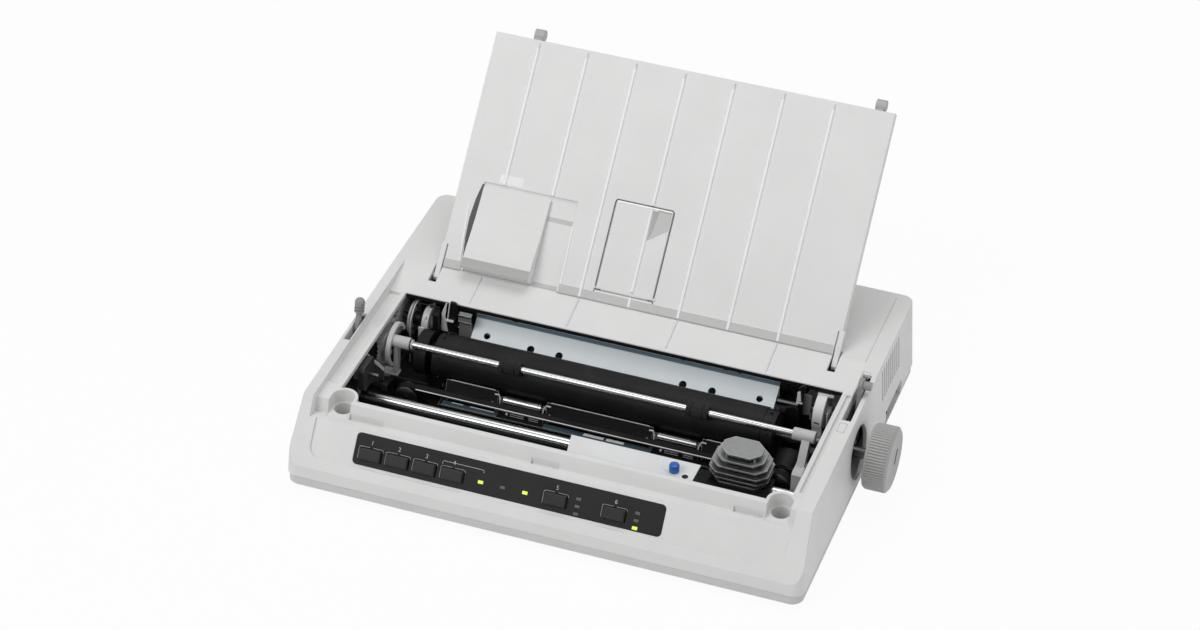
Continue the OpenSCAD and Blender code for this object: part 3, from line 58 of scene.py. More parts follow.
# ---- Looks: camera in degrees, pixels and millimetres of the case frame; floor in metres ----
BEVEL_SAMPLES = 6
SMOOTH_ANGLE = 38
CAMERA_AZIMUTH, CAMERA_HEIGHT, CAMERA_ROLL = 18.435, 36.316, 1.593
CAMERA_AT = (601.28, -1688.18, 1505.18)
FOCAL_PIXELS, IMAGE_WIDTH, SENSOR_WIDTH = 3564.768, 1200, 36
WHITE_SHARE, WORLD_LIGHT, FLOOR_HALF = 0.94, 0.42, 12


def m(x, y, z):
    """Case frame in mm to the part's frame in m."""
    return (Vector((x, y, z)) + SHIFT) / 1000


def sep(x, u, w):
    """Point on the separator: x across, u up the plate, w out of its pivot plane, in mm."""
    c, s = math.cos(SEP_ANGLE), math.sin(SEP_ANGLE)
    return m(x, SEP_Y + u * c - w * s, SEP_Z + u * s + w * c)


def slope(x, v, w):
    """Point on the front slope: x across, v up the slope, w out of it, in mm."""
    c, s = math.cos(SLOPE_ANGLE), math.sin(SLOPE_ANGLE)
    return m(x, v * c - w * s, LIP_Z + v * s + w * c)


# ---- Materials ----


def new_material(name):
    """Material with nodes, its node tree and its Principled shader."""
    mat = bpy.data.materials.new(name)
    mat.use_nodes = True
    nt = mat.node_tree
    bsdf = nt.nodes["Principled BSDF"]
    return mat, nt, bsdf


def noise(nt, scale, detail=4.0, rough=0.55, coords="Object", stretch=None):
    """Noise in metres of the part's frame, optionally stretched along an axis."""
    tex = nt.nodes.new("ShaderNodeTexCoord")
    node = nt.nodes.new("ShaderNodeTexNoise")
    node.inputs["Scale"].default_value = scale
    node.inputs["Detail"].default_value = detail
    node.inputs["Roughness"].default_value = rough
    source = tex.outputs[coords]
    if stretch:
        mapping = nt.nodes.new("ShaderNodeMapping")
        mapping.inputs["Scale"].default_value = stretch
        nt.links.new(source, mapping.inputs["Vector"])
        source = mapping.outputs["Vector"]
    nt.links.new(source, node.inputs["Vector"])
    return node


def ramp(nt, source, low, high, a=0.35, b=0.65):
    """Colour ramp between two colours, driven by source."""
    node = nt.nodes.new("ShaderNodeValToRGB")
    node.color_ramp.elements[0].position = a
    node.color_ramp.elements[1].position = b
    node.color_ramp.elements[0].color = (*low, 1)
    node.color_ramp.elements[1].color = (*high, 1)
    nt.links.new(source, node.inputs["Fac"])
    return node.outputs["Color"]


def value_range(nt, source, low, high):
    """Maps a value from 0..1 to low..high."""
    node = nt.nodes.new("ShaderNodeMapRange")
    node.inputs["To Min"].default_value = low
    node.inputs["To Max"].default_value = high
    nt.links.new(source, node.inputs["Value"])
    return node.outputs["Result"]


def bumped(nt, bsdf, height, strength, distance, edge=0.0):
    """Bump on top of an optional shader-rounded edge of the given radius in metres."""
    bump = nt.nodes.new("ShaderNodeBump")
    bump.inputs["Strength"].default_value = strength
    bump.inputs["Distance"].default_value = distance
    nt.links.new(height, bump.inputs["Height"])
    if edge:
        bevel = nt.nodes.new("ShaderNodeBevel")
        bevel.samples = BEVEL_SAMPLES
        bevel.inputs["Radius"].default_value = edge
        nt.links.new(bevel.outputs["Normal"], bump.inputs["Normal"])
    nt.links.new(bump.outputs["Normal"], bsdf.inputs["Normal"])


def corner_highlight(nt, colour, pale, radius, amount):
    """Mixes a paler colour into the corners of a shape, in patches, as a painted highlight; radius in metres.
    """
    bevel = nt.nodes.new("ShaderNodeBevel")
    bevel.samples = BEVEL_SAMPLES
    bevel.inputs["Radius"].default_value = radius
    flat = nt.nodes.new("ShaderNodeNewGeometry")
    dot = nt.nodes.new("ShaderNodeVectorMath")
    dot.operation = "DOT_PRODUCT"
    nt.links.new(bevel.outputs["Normal"], dot.inputs[0])
    nt.links.new(flat.outputs["Normal"], dot.inputs[1])
    corner = nt.nodes.new("ShaderNodeMapRange")
    corner.inputs["From Min"].default_value = 0.985
    corner.inputs["From Max"].default_value = 0.86
    corner.inputs["To Max"].default_value = amount
    nt.links.new(dot.outputs["Value"], corner.inputs["Value"])
    patches = noise(nt, 220, 4, 0.6)
    highlight = nt.nodes.new("ShaderNodeMath")
    highlight.operation = "MULTIPLY"
    nt.links.new(corner.outputs["Result"], highlight.inputs[0])
    nt.links.new(value_range(nt, patches.outputs["Fac"], 0.55, 1.0), highlight.inputs[1])
    mix = nt.nodes.new("ShaderNodeMix")
    mix.data_type = "RGBA"
    nt.links.new(highlight.outputs[0], mix.inputs["Factor"])
    nt.links.new(colour, mix.inputs[6])
    mix.inputs[7].default_value = (*pale, 1)
    return mix.outputs[2]


def moulded(name, colour, rough=0.5, grain=0.25, edge=0.0006, spread=0.03, coat=0.0, highlight=0.0, shine=0.5):
    """Moulded plastic: fine spark-eroded grain, slight mottling of tone and gloss, corners painted paler as a
    highlight.
    """
    mat, nt, bsdf = new_material(name)
    low = tuple(c * (1 - spread) for c in colour)
    high = tuple(min(1, c * (1 + spread)) for c in colour)
    tone = noise(nt, 28, 5)
    base = ramp(nt, tone.outputs["Fac"], low, high)
    if highlight:
        pale = tuple(min(0.9, c * 1.12 + 0.03) for c in colour)
        base = corner_highlight(nt, base, pale, 0.0008, highlight)
    nt.links.new(base, bsdf.inputs["Base Color"])
    bsdf.inputs["Specular IOR Level"].default_value = shine
    gloss = noise(nt, 140, 3)
    nt.links.new(value_range(nt, gloss.outputs["Fac"], rough - 0.07, rough + 0.07), bsdf.inputs["Roughness"])
    bsdf.inputs["Coat Weight"].default_value = coat
    fine = noise(nt, 2600, 2, 0.7)
    bumped(nt, bsdf, fine.outputs["Fac"], grain, 0.00012, edge)
    return mat


def metal(name, colour, rough=0.3, stretch=(1, 1, 1), streak=0.08, edge=0.0003, scale=300,
          highlight=0.0, reach=0.0005, bump=0.12):
    """Sheet or drawn metal: streaked gloss, slight patches of tone, and bright corners painted in as a
    highlight when asked for.
    """
    mat, nt, bsdf = new_material(name)
    bsdf.inputs["Metallic"].default_value = 1.0
    streaks = noise(nt, scale, 6, 0.6, stretch=stretch)
    low = tuple(c * 0.86 for c in colour)
    base = ramp(nt, streaks.outputs["Fac"], low, colour, 0.3, 0.6)
    if highlight:
        base = corner_highlight(nt, base, (0.86, 0.86, 0.87), reach, highlight)
    nt.links.new(base, bsdf.inputs["Base Color"])
    gloss = value_range(nt, streaks.outputs["Fac"], rough - streak, rough + streak)
    nt.links.new(gloss, bsdf.inputs["Roughness"])
    bumped(nt, bsdf, streaks.outputs["Fac"], bump, 0.00006, edge)
    return mat


def rubber(name, colour, rough=0.55, shine=0.3):
    """Ground rubber: dull, with a faint nap and dust in patches."""
    mat, nt, bsdf = new_material(name)
    dust = noise(nt, 60, 6, 0.6)
    pale = tuple(c + 0.008 for c in colour)
    bsdf.inputs["Specular IOR Level"].default_value = shine
    nt.links.new(ramp(nt, dust.outputs["Fac"], colour, pale, 0.4, 0.75), bsdf.inputs["Base Color"])
    fine = noise(nt, 1500, 3, 0.7)
    nt.links.new(value_range(nt, fine.outputs["Fac"], rough - 0.06, rough + 0.1), bsdf.inputs["Roughness"])
    bumped(nt, bsdf, fine.outputs["Fac"], 0.2, 0.0001, 0.0002)
    return mat


def painted(name, colour, rough=0.4, edge=0.0004, highlight=0.0, highlight_colour=(0.8, 0.8, 0.8), shine=0.5):
    """Coated sheet metal: orange-peel bump, faint wear in the gloss, corners painted in a paler colour as a
    highlight.
    """
    mat, nt, bsdf = new_material(name)
    tone = noise(nt, 35, 4)
    low = tuple(c * 0.95 for c in colour)
    base = ramp(nt, tone.outputs["Fac"], low, colour)
    if highlight:
        base = corner_highlight(nt, base, highlight_colour, 0.0005, highlight)
    nt.links.new(base, bsdf.inputs["Base Color"])
    bsdf.inputs["Specular IOR Level"].default_value = shine
    peel = noise(nt, 700, 2)
    nt.links.new(value_range(nt, peel.outputs["Fac"], rough - 0.05, rough + 0.08), bsdf.inputs["Roughness"])
    bumped(nt, bsdf, peel.outputs["Fac"], 0.1, 0.0001, edge)
    return mat


def lens(name, colour, glow):
    """Indicator lens: clear coloured plastic with a lit core where glow is above 0."""
    mat, nt, bsdf = new_material(name)
    core = noise(nt, 900, 2)
    dim = tuple(c * 0.7 for c in colour)
    nt.links.new(ramp(nt, core.outputs["Fac"], dim, colour), bsdf.inputs["Base Color"])
    bsdf.inputs["Roughness"].default_value = 0.22
    bsdf.inputs["Emission Color"].default_value = (*colour, 1)
    bsdf.inputs["Emission Strength"].default_value = glow
    return mat


# Corner amounts and pale corner colours in these materials paint highlights on edges that catch the light.
M = {
    "case": moulded("case_plastic", (0.79, 0.79, 0.785), 0.52, 0.3, 0.0009, 0.02, highlight=0.5),
    "pan": moulded("pan_plastic", (0.66, 0.66, 0.655), 0.52, 0.3, 0.0006, highlight=0.4),
    "separator": moulded("separator_plastic", (0.82, 0.82, 0.815), 0.5, 0.25, 0.0006, 0.015, highlight=0.6),
    "button": moulded("button_plastic", (0.014, 0.014, 0.015), 0.38, 0.25, 0.0008, 0.08, highlight=0.25, shine=0.4),
    "panel": moulded("panel_plastic", (0.020, 0.020, 0.021), 0.42, 0.35, 0.0004, 0.08, shine=0.22),
    "knob": moulded("knob_plastic", (0.43, 0.43, 0.425), 0.45, 0.2, 0.0003, highlight=0.4),
    "arm": moulded("arm_plastic", (0.55, 0.55, 0.55), 0.42, 0.2, 0.0004, highlight=0.6),
    "lever": moulded("lever_plastic", (0.31, 0.31, 0.31), 0.45, 0.2, 0.0004, highlight=0.5),
    "stop": moulded("stop_plastic", (0.46, 0.465, 0.47), 0.45, 0.2, 0.0005, highlight=0.5),
    "white": moulded("white_plastic", (0.80, 0.815, 0.82), 0.45, 0.15, 0.0003, highlight=0.6),
    "gear": moulded("gear_plastic", (0.62, 0.62, 0.61), 0.4, 0.1, 0.0002, highlight=0.4),
    "black": moulded("black_plastic", (0.009, 0.009, 0.010), 0.4, 0.25, 0.0004, 0.1, highlight=0.12, shine=0.3),
    "blue": moulded("blue_plastic", (0.008, 0.13, 0.50), 0.3, 0.1, 0.0004, 0.06, 0.3),
    "connector": moulded("connector_plastic", (0.035, 0.08, 0.2), 0.4, 0.15, 0.0003),
    "board": moulded("board_resist", (0.02, 0.12, 0.045), 0.35, 0.1, 0.0002, 0.12, 0.3),
    # recess, shade and dent are grey copies that paint shade in slits, grooves, dents and folds; rib is a
    # paler copy of the separator plastic that paints highlights on ribs and edges.
    "recess": moulded("recess_shade_plastic", (0.10, 0.10, 0.10), 0.6, 0.2, 0.0002),
    "rib": moulded("rib_highlight_plastic", (0.97, 0.97, 0.965), 0.5, 0.2, 0.0004, 0.01),
    "shade": moulded("shade_plastic", (0.60, 0.60, 0.595), 0.55, 0.25, 0.0003, 0.01),
    "dent": moulded("dent_shade_plastic", (0.46, 0.46, 0.455), 0.55, 0.25, 0.0002, 0.01),
    # Pale paint; on the spring, gusset strips, lever plate, the pressure frame's lips, slots and screws, and
    # the belt line it is a painted highlight of bright metal.
    "lip": painted("bright_paint", (0.84, 0.84, 0.84), 0.3, 0.0002),
    "label": painted("blank_label", (0.95, 0.95, 0.945), 0.45, 0.0001),
    "guide": painted("guide_paint", (0.86, 0.92, 0.945), 0.38, highlight=0.7, highlight_colour=(0.88, 0.9, 0.92)),
    # Dark copy of the guide paint: painted shade on the guide's turned-up edge.
    "guide_edge": painted("guide_edge_shade_paint", (0.15, 0.23, 0.29), 0.4, highlight=0.5),
    "press": painted("press_paint", (0.010, 0.010, 0.011), 0.3, 0.0003, highlight=1.0,
                     highlight_colour=(0.80, 0.80, 0.80), shine=0.35),
    "frame": painted("frame_paint", (0.016, 0.017, 0.019), 0.45, highlight=0.35,
                     highlight_colour=(0.45, 0.45, 0.46), shine=0.3),
    "blue_plate": painted("blue_plate_paint", (0.065, 0.105, 0.135), 0.32, highlight=0.5),
    "grey_plate": painted("grey_plate_paint", (0.20, 0.20, 0.205), 0.4, highlight=0.6),
    "grey_dark": painted("dark_grey_paint", (0.045, 0.045, 0.047), 0.45, 0.0005, highlight=0.6,
                         highlight_colour=(0.35, 0.35, 0.35), shine=0.3),
    "motor": painted("motor_paint", (0.020, 0.020, 0.021), 0.42, highlight=0.3, highlight_colour=(0.4, 0.4, 0.4), shine=0.3),
    "core": metal("core_steel", (0.36, 0.37, 0.38), 0.35, (1, 1, 4)),
    "steel": metal("sheet_steel", (0.56, 0.57, 0.58), 0.33, (0.3, 1, 1), highlight=0.5),
    "chrome": metal("bright_rod", (0.72, 0.73, 0.74), 0.2, (0.0005, 1, 1), 0.015, 0.0, 120, bump=0.004),
    "pulley": metal("turned_steel", (0.16, 0.16, 0.165), 0.35),
    "fin": metal("fin_alloy", (0.42, 0.425, 0.43), 0.5, (1, 1, 1), 0.08, 0.0003, highlight=1.0, reach=0.0009),
    "screw": metal("black_zinc", (0.10, 0.10, 0.11), 0.35),
    "platen": rubber("platen_rubber", (0.007, 0.007, 0.0075), 0.42, 0.22),
    "rubber": rubber("roller_rubber", (0.010, 0.010, 0.011), 0.55, 0.3),
    "roll": metal("pressure_roll", (0.40, 0.405, 0.41), 0.17, (0.0005, 1, 1), 0.015, 0.0, 120, bump=0.004),
    "foot": rubber("foot_rubber", (0.02, 0.02, 0.02), 0.7),
    "belt": rubber("belt_rubber", (0.009, 0.009, 0.009), 0.6, 0.2),
    "lit": lens("lit_lens", (0.62, 0.85, 0.10), 0.7),
    "unlit": lens("unlit_lens", (0.13, 0.15, 0.12), 0.0),
    "print": painted("panel_ink", (0.62, 0.62, 0.62), 0.5),
}

NODE_MATERIAL = {
    "bottom_pan": "pan", "rubber_feet": "foot", "top_cover": "case", "cover_screws": "screw",
    "control_panel": "panel", "panel_board": "board", "lit_indicators": "lit",
    "unlit_indicators": "unlit", "chassis_plate": "black", "side_frame_left": "frame",
    "side_frame_right": "frame", "frame_screws": "steel", "platen_bushings": "gear",
    "rear_guide_plate": "guide", "paper_chute": "black", "platen_roller": "platen",
    "platen_shaft": "pulley", "platen_knob": "knob", "platen_gear": "gear", "idler_gear": "black",
    "motor_pinion": "pulley", "line_feed_motor": "motor", "tractor_shaft": "pulley",
    "tractor_gear": "gear", "pin_wheel_left": "gear", "pin_wheel_right": "gear",
    "pressure_frame": "press", "pressure_rollers": "roll", "release_lever": "lever",
    "bail_lever": "lever", "bail_arm_left": "arm", "bail_arm_right": "arm", "bail_rod": "chrome",
    "bail_roller_left": "rubber", "bail_roller_right": "rubber", "carriage_rail": "chrome",
    "front_rail": "chrome", "carriage": "black", "print_head": "fin", "cable_cover": "white",
    "gap_lever": "blue", "carriage_belt": "belt", "drive_pulley": "pulley", "idler_pulley": "pulley",
    "carriage_motor": "motor", "separator_plate": "separator", "separator_flap": "separator",
    "sheet_guide": "separator", "sheet_stops": "stop", "power_switch": "black",
    "ac_inlet": "black", "interface_connector": "connector", "main_board": "board",
    "transformer": "core", "line_feed_button": "button", "form_feed_button": "button",
    "top_of_form_button": "button", "select_button": "button", "pitch_button": "button",
    "mode_button": "button",
}

for name, key in NODE_MATERIAL.items():
    nodes[name].data.materials.clear()
    nodes[name].data.materials.append(M[key])


# ---- Mesh helpers: all sizes in millimetres of the case frame ----


def piece(name, bm, material, body, replaces=(), bevel=0.0, segments=2):
    """Finishes a bmesh as a piece that rides on a CAD body."""
    bmesh.ops.recalc_face_normals(bm, faces=bm.faces)
    mesh = bpy.data.meshes.new(name)
    bm.to_mesh(mesh)
    bm.free()
    mesh.shade_smooth()
    mesh.set_sharp_from_angle(angle=math.radians(SMOOTH_ANGLE))
    obj = bpy.data.objects.new(name, mesh)
    scene.collection.objects.link(obj)
    mesh.materials.append(M[material])
    if bevel:
        mod = obj.modifiers.new("edge", "BEVEL")
        mod.width = bevel / 1000
        mod.segments = segments
        mod.limit_method = "ANGLE"
        mod.angle_limit = math.radians(40)
        mod.harden_normals = True
    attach(obj, body)
    if replaces:
        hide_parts(*replaces)
    return obj


def bridge(bm, a, b):
    """Quads between two closed loops of the same length."""
    for i in range(len(a)):
        j = (i + 1) % len(a)
        bm.faces.new((a[i], a[j], b[j], b[i]))


def prism(bm, outline, low, high, at):
    """Solid between two copies of an outline; at(point, level) gives each corner in metres."""
    a = [bm.verts.new(at(p, low)) for p in outline]
    b = [bm.verts.new(at(p, high)) for p in outline]
    bm.faces.new(a)
    bm.faces.new(b[::-1])
    bridge(bm, a, b)


def along_x(p, x):
    """Point (y, z) at x."""
    return m(x, p[0], p[1])


def along_y(p, y):
    """Point (x, z) at depth y."""
    return m(p[0], y, p[1])


def along_z(p, z):
    """Point (x, y) at height z."""
    return m(p[0], p[1], z)


def block(bm, x, y, z):
    """Box from ranges along X, Y and Z."""
    prism(bm, [(x[0], y[0]), (x[1], y[0]), (x[1], y[1]), (x[0], y[1])], z[0], z[1], along_z)


def ring_points(c, r, steps, start=0.0):
    """Points evenly round a circle about c."""
    angles = [start + 2 * math.pi * i / steps for i in range(steps)]
    return [(c[0] + r * math.cos(a), c[1] + r * math.sin(a)) for a in angles]


def lathe(bm, c, profile, steps=48, ripple=None, at=along_x):
    """Turned solid about a line through c, from a profile of (position, radius).

    ripple(step, position, radius), where given, returns the radius for that step round the circle.
    """
    loops = []
    for x, r in profile:
        loop = []
        for i in range(steps):
            a = 2 * math.pi * i / steps
            rr = ripple(i, x, r) if ripple else r
            loop.append(bm.verts.new(at((c[0] + rr * math.cos(a), c[1] + rr * math.sin(a)), x)))
        loops.append(loop)
    for a, b in zip(loops, loops[1:]):
        bridge(bm, a, b)
    bm.faces.new(loops[0])
    bm.faces.new(loops[-1][::-1])


def rod(bm, c, r, x0, x1, steps=32, chamfer=0.3, at=along_x):
    """Rod with chamfered ends."""
    lathe(bm, c, [(x0, r - chamfer), (x0 + chamfer, r), (x1 - chamfer, r), (x1, r - chamfer)], steps, at=at)


def tube(bm, c, r_in, r_out, x0, x1, steps=48, at=along_x):
    """Ring with square edges."""
    loops = [[bm.verts.new(at(p, x)) for p in ring_points(c, r, steps)] for x, r in
             ((x0, r_in), (x0, r_out), (x1, r_out), (x1, r_in))]
    for a, b in zip(loops, loops[1:] + loops[:1]):
        bridge(bm, a, b)


def arc(c, r, start, end, steps=16):
    """Points on an arc about c, from start to end in degrees."""
    angles = [math.radians(start + (end - start) * i / steps) for i in range(steps + 1)]
    return [(c[0] + r * math.cos(a), c[1] + r * math.sin(a)) for a in angles]


def strip(path, t):
    """Outline of bent sheet of thickness t that follows a path."""
    left, right = [], []
    for i, p in enumerate(path):
        a, b = path[max(i - 1, 0)], path[min(i + 1, len(path) - 1)]
        d = Vector((b[0] - a[0], b[1] - a[1])).normalized() * t / 2
        left.append((p[0] - d.y, p[1] + d.x))
        right.append((p[0] + d.y, p[1] - d.x))
    return left + right[::-1]


def capsule(c0, r0, c1, r1, steps=12):
    """Outline of a bar with round ends between two points."""
    d = math.atan2(c1[1] - c0[1], c1[0] - c0[0])
    dist = math.dist(c0, c1)
    tilt = math.acos(max(-1, min(1, (r0 - r1) / dist)))
    pts = []
    for i in range(steps + 1):
        a = d + tilt + (2 * math.pi - 2 * tilt) * i / steps
        pts.append((c0[0] + r0 * math.cos(a), c0[1] + r0 * math.sin(a)))
    for i in range(steps + 1):
        a = d - tilt + 2 * tilt * i / steps
        pts.append((c1[0] + r1 * math.cos(a), c1[1] + r1 * math.sin(a)))
    return pts


# ---- Platen knob ----


def make_knob():
    """Side knob with fine grooves between two smooth lands, and a shallow dished face."""
    grooves, x0, x1, r = 70, 186.0, 203.0, 22.7

    def ripple(i, x, rr):
        grooved = x0 + 2.0 < x < x1 - 1.4 and rr > r - 1.0
        return rr - (0.95 if grooved and i % 4 == 0 else 0)

    profile = [
        (x0, 8), (x0, r - 3), (x0 + 0.4, r - 1.2), (x0 + 1.2, r - 0.5), (x0 + 2.0, r - 0.3),
        (x0 + 2.2, r), (x0 + 8, r), (x1 - 1.8, r), (x1 - 1.4, r - 0.25), (x1 - 0.3, r - 1.7),
        (x1, r - 2.3), (x1, r - 3.2), (x1 - 0.9, r - 10), (x1 - 1.1, r - 14), (x1 - 1.2, 3), (x1 - 1.2, 0.3),
    ]
    bm = bmesh.new()
    lathe(bm, PLATEN, profile, grooves * 4, ripple)
    piece("knob_shell", bm, "knob", "platen", ("platen_knob",))


# ---- Print head ----

HEAD_X, FIN_Y, HEAD_TOP, FIN_PITCH, FIN_T = 109.5, 93.5, 43.2, 4.65, 1.2
FIN_SIZE = ((28, 20, 0), (33, 23.5, 0), (38.5, 26, 0), (41, 27.5, 0), (40.5, 25, 0.5), (37, 15, 4))


def octagon(w, d, cut, c=(0, 0)):
    """Outline w by d about c, with its corners cut."""
    w, d = w / 2, d / 2
    pts = [(-w, cut - d), (cut - w, -d), (w - cut, -d), (w, cut - d),
           (w, d - cut), (w - cut, d), (cut - w, d), (-w, d - cut)]
    return [(p[0] + c[0], p[1] + c[1]) for p in pts]


def make_head():
    """Six cooling plates on the coil housing with spacer posts, and the apron at the carriage's left."""
    bm = bmesh.new()
    for i, (w, d, ahead) in enumerate(FIN_SIZE):
        z = HEAD_TOP - FIN_T - i * FIN_PITCH
        prism(bm, octagon(w, d, 6, (HEAD_X, FIN_Y - ahead)), z, z + FIN_T, along_z)
    piece("head_fins", bm, "fin", "carriage", ("print_head",))
    bm = bmesh.new()
    prism(bm, octagon(22, 13, 4.5, (HEAD_X, FIN_Y - 2.5)), 24.3, HEAD_TOP - 1.1, along_z)
    block(bm, (HEAD_X - 12, HEAD_X + 12), (85, 94.2), (19.7, 24.4))
    nose = [(98.5, 34.5), (98.5, 24.6), (111.8, 24.6), (115.6, 26.8), (115.6, 32.4), (112.5, 34.5)]
    prism(bm, nose, HEAD_X - 7, HEAD_X + 7, along_x)
    piece("head_core", bm, "black", "carriage", (), 0.3)
    bm = bmesh.new()
    for dx, dy in ((-9, -6.5), (-3, -8), (4, -8), (10, -6), (-9, 6), (9, 6)):
        rod(bm, (HEAD_X + dx, FIN_Y + dy), 0.75, 24.3, HEAD_TOP - 1.2, 20, at=along_z)
    piece("head_posts", bm, "steel", "carriage", ())
    bm = bmesh.new()
    block(bm, (86.2, 90.4), (60.5, 97.8), (18.3, 19.5))
    block(bm, (81, 86.4), (60.5, 90), (18.3, 19.5))
    piece("carriage_apron", bm, "black", "carriage", (), 0.2)


# ---- Paper bail ----


def bail_hub(bm, x):
    """Hub on the rod, between the two ends of range x."""
    a, b = x
    lathe(bm, BAIL, [(a, 2.4), (a, 3.9), (a + 0.4, 4.25), (b - 0.4, 4.25), (b, 3.9), (b, 2.4)], 40)


def make_bail_right():
    """Right arm of the bail: hub, thin web, and a foot on the pivot."""
    bm = bmesh.new()
    bail_hub(bm, (136.5, 152))
    prism(bm, capsule((BAIL[0] - 1.5, BAIL[1] - 2), 3.0, (106, 27), 3.4), 143.6, 149.2, along_x)
    foot = [(98, 29.4), (110, 29.5), (111.5, 26), (105.4, 19),
            (104.4, 14), (96.2, 14), (95.6, 15), (95.8, 28)]
    prism(bm, foot, 142.8, 150.0, along_x)
    rod(bm, BAIL_PIVOT, 2.5, 144, 169.1)
    piece("bail_right_moulding", bm, "arm", "bail", ("bail_arm_right",), 0.35)


def make_bail_left():
    """Left arm: hub with an open hooded ring, a web down to a ledge, and a dark link to the pivot."""
    bm = bmesh.new()
    bail_hub(bm, (-152, -136.5))
    prism(bm, capsule((119.5, 41), 3.0, (118.0, 20.5), 2.7), -148.4, -145.4, along_x)
    block(bm, (-156.8, -144.8), (113.6, 121.2), (17.6, 19.2))
    block(bm, (-156.8, -144.8), (113.6, 114.6), (16.0, 18.0))
    c = (BAIL[0] + 5.9, BAIL[1] - 7.5)
    prism(bm, arc(c, 15.5, 15, 240, 40) + arc(c, 12.8, 240, 15, 40), -151.8, -148.4, along_x)
    piece("bail_left_moulding", bm, "arm", "bail", ("bail_arm_left",), 0.35)
    bm = bmesh.new()
    tube(bm, BAIL, 2.4, 3.4, -135.5, -134.9, 32)
    piece("bail_ring_bright", bm, "lip", "bail", ())
    bm = bmesh.new()
    tube(bm, BAIL, 2.4, 3.6, -136.4, -135.6, 32)
    piece("bail_ring_dark", bm, "black", "bail", ())
    bm = bmesh.new()
    # The web inside the hooded ring is in the darker lever plastic, painted shade.
    prism(bm, arc(c, 13.0, 12, 150, 28), -151.6, -150.8, along_x)
    piece("bail_ring_web", bm, "lever", "bail", ())
    bm = bmesh.new()
    link = [(120.5, 17.7), (114, 17.7), (101, 13.8), (96.8, 14.6),
            (95.8, 18), (97.4, 21.6), (101, 22.4), (110, 18.8)]
    prism(bm, link, -149.8, -145.4, along_x)
    rod(bm, BAIL_PIVOT, 2.5, -169.1, -145.4)
    piece("bail_left_link", bm, "black", "bail", (), 0.3)


def make_bail_roller(name, x, body):
    """Ribbed rubber roller on the bail rod."""
    bm = bmesh.new()
    half = 15.3 / 2

    def ripple(i, pos, r):
        return r - (0.35 if i % 4 < 2 and r > 4.5 else 0)

    end = [(half, 2.4), (half, 4.3), (half - 0.5, 4.9), (4.5, 4.9), (4.4, 4.2), (3.6, 4.2), (3.5, 4.9)]
    profile = [(x - d, r) for d, r in end] + [(x + d, r) for d, r in end[::-1]]
    lathe(bm, BAIL, profile, 80, ripple)
    piece(name + "_tread", bm, "rubber", body, (name,))


# ---- Control panel ----

BUTTON_X = (-122.5, -103.3, -84.0, -64.5, 7.5, 48.0)
BUTTON_V, BUTTON_W, BUTTON_H = 18.2, 15.6, 8.0
PANEL_FACE = -1.2


def on_panel(p, w):
    """Point (x, v) of the front slope, w out of it."""
    return slope(p[0], p[1], w)


def stroke(bm, pts, width, w0, w1):
    """Printed line on the panel along a path of (x, v) points."""
    for p, q in zip(pts, pts[1:]):
        prism(bm, capsule(p, width / 2, q, width / 2, 4), w0, w1, on_panel)


def make_panel_print():
    """Thin outlines round the buttons, and a bracket line; the plain number over each is made by make_number.
    """
    bm = bmesh.new()
    face, top = PANEL_FACE - 0.05, PANEL_FACE + 0.03
    for x in BUTTON_X:
        left, right = x - BUTTON_W / 2 - 0.7, x + BUTTON_W / 2 + 0.7
        low, high = BUTTON_V - BUTTON_H / 2 + 0.5, BUTTON_V + BUTTON_H / 2 + 0.7
        stroke(bm, [(left, low), (left, high - 0.8), (left + 0.8, high), (x - 1.1, high)], 0.32, face, top)
        corner = [(x + 1.1, high), (right - 0.8, high), (right, high - 0.8), (right, high - 1.6)]
        stroke(bm, corner, 0.32, face, top)
    bracket = [(-72.5, 23.6), (-72.5, 25.4), (-71.7, 26.0), (-44.2, 26.0), (-43.6, 25.4), (-43.6, 24.2)]
    stroke(bm, bracket, 0.32, face, top)
    piece("panel_outlines", bm, "print", "base", ())


def make_number(name, text, x, v, size):
    """Plain number printed on the panel."""
    curve = bpy.data.curves.new(name, "FONT")
    curve.body = text
    curve.size = size / 1000
    curve.align_x, curve.align_y = "CENTER", "CENTER"
    curve.extrude = 0.00003
    obj = bpy.data.objects.new(name, curve)
    scene.collection.objects.link(obj)
    c, s = math.cos(SLOPE_ANGLE), math.sin(SLOPE_ANGLE)
    turn = Matrix(((1, 0, 0), (0, c, -s), (0, s, c))).to_4x4()
    obj.matrix_world = Matrix.Translation(slope(x, v, PANEL_FACE + 0.02)) @ turn
    curve.materials.append(M["print"])
    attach(obj, "base")


# ---- Paper feed: pin wheels, brackets and levers behind the platen ----


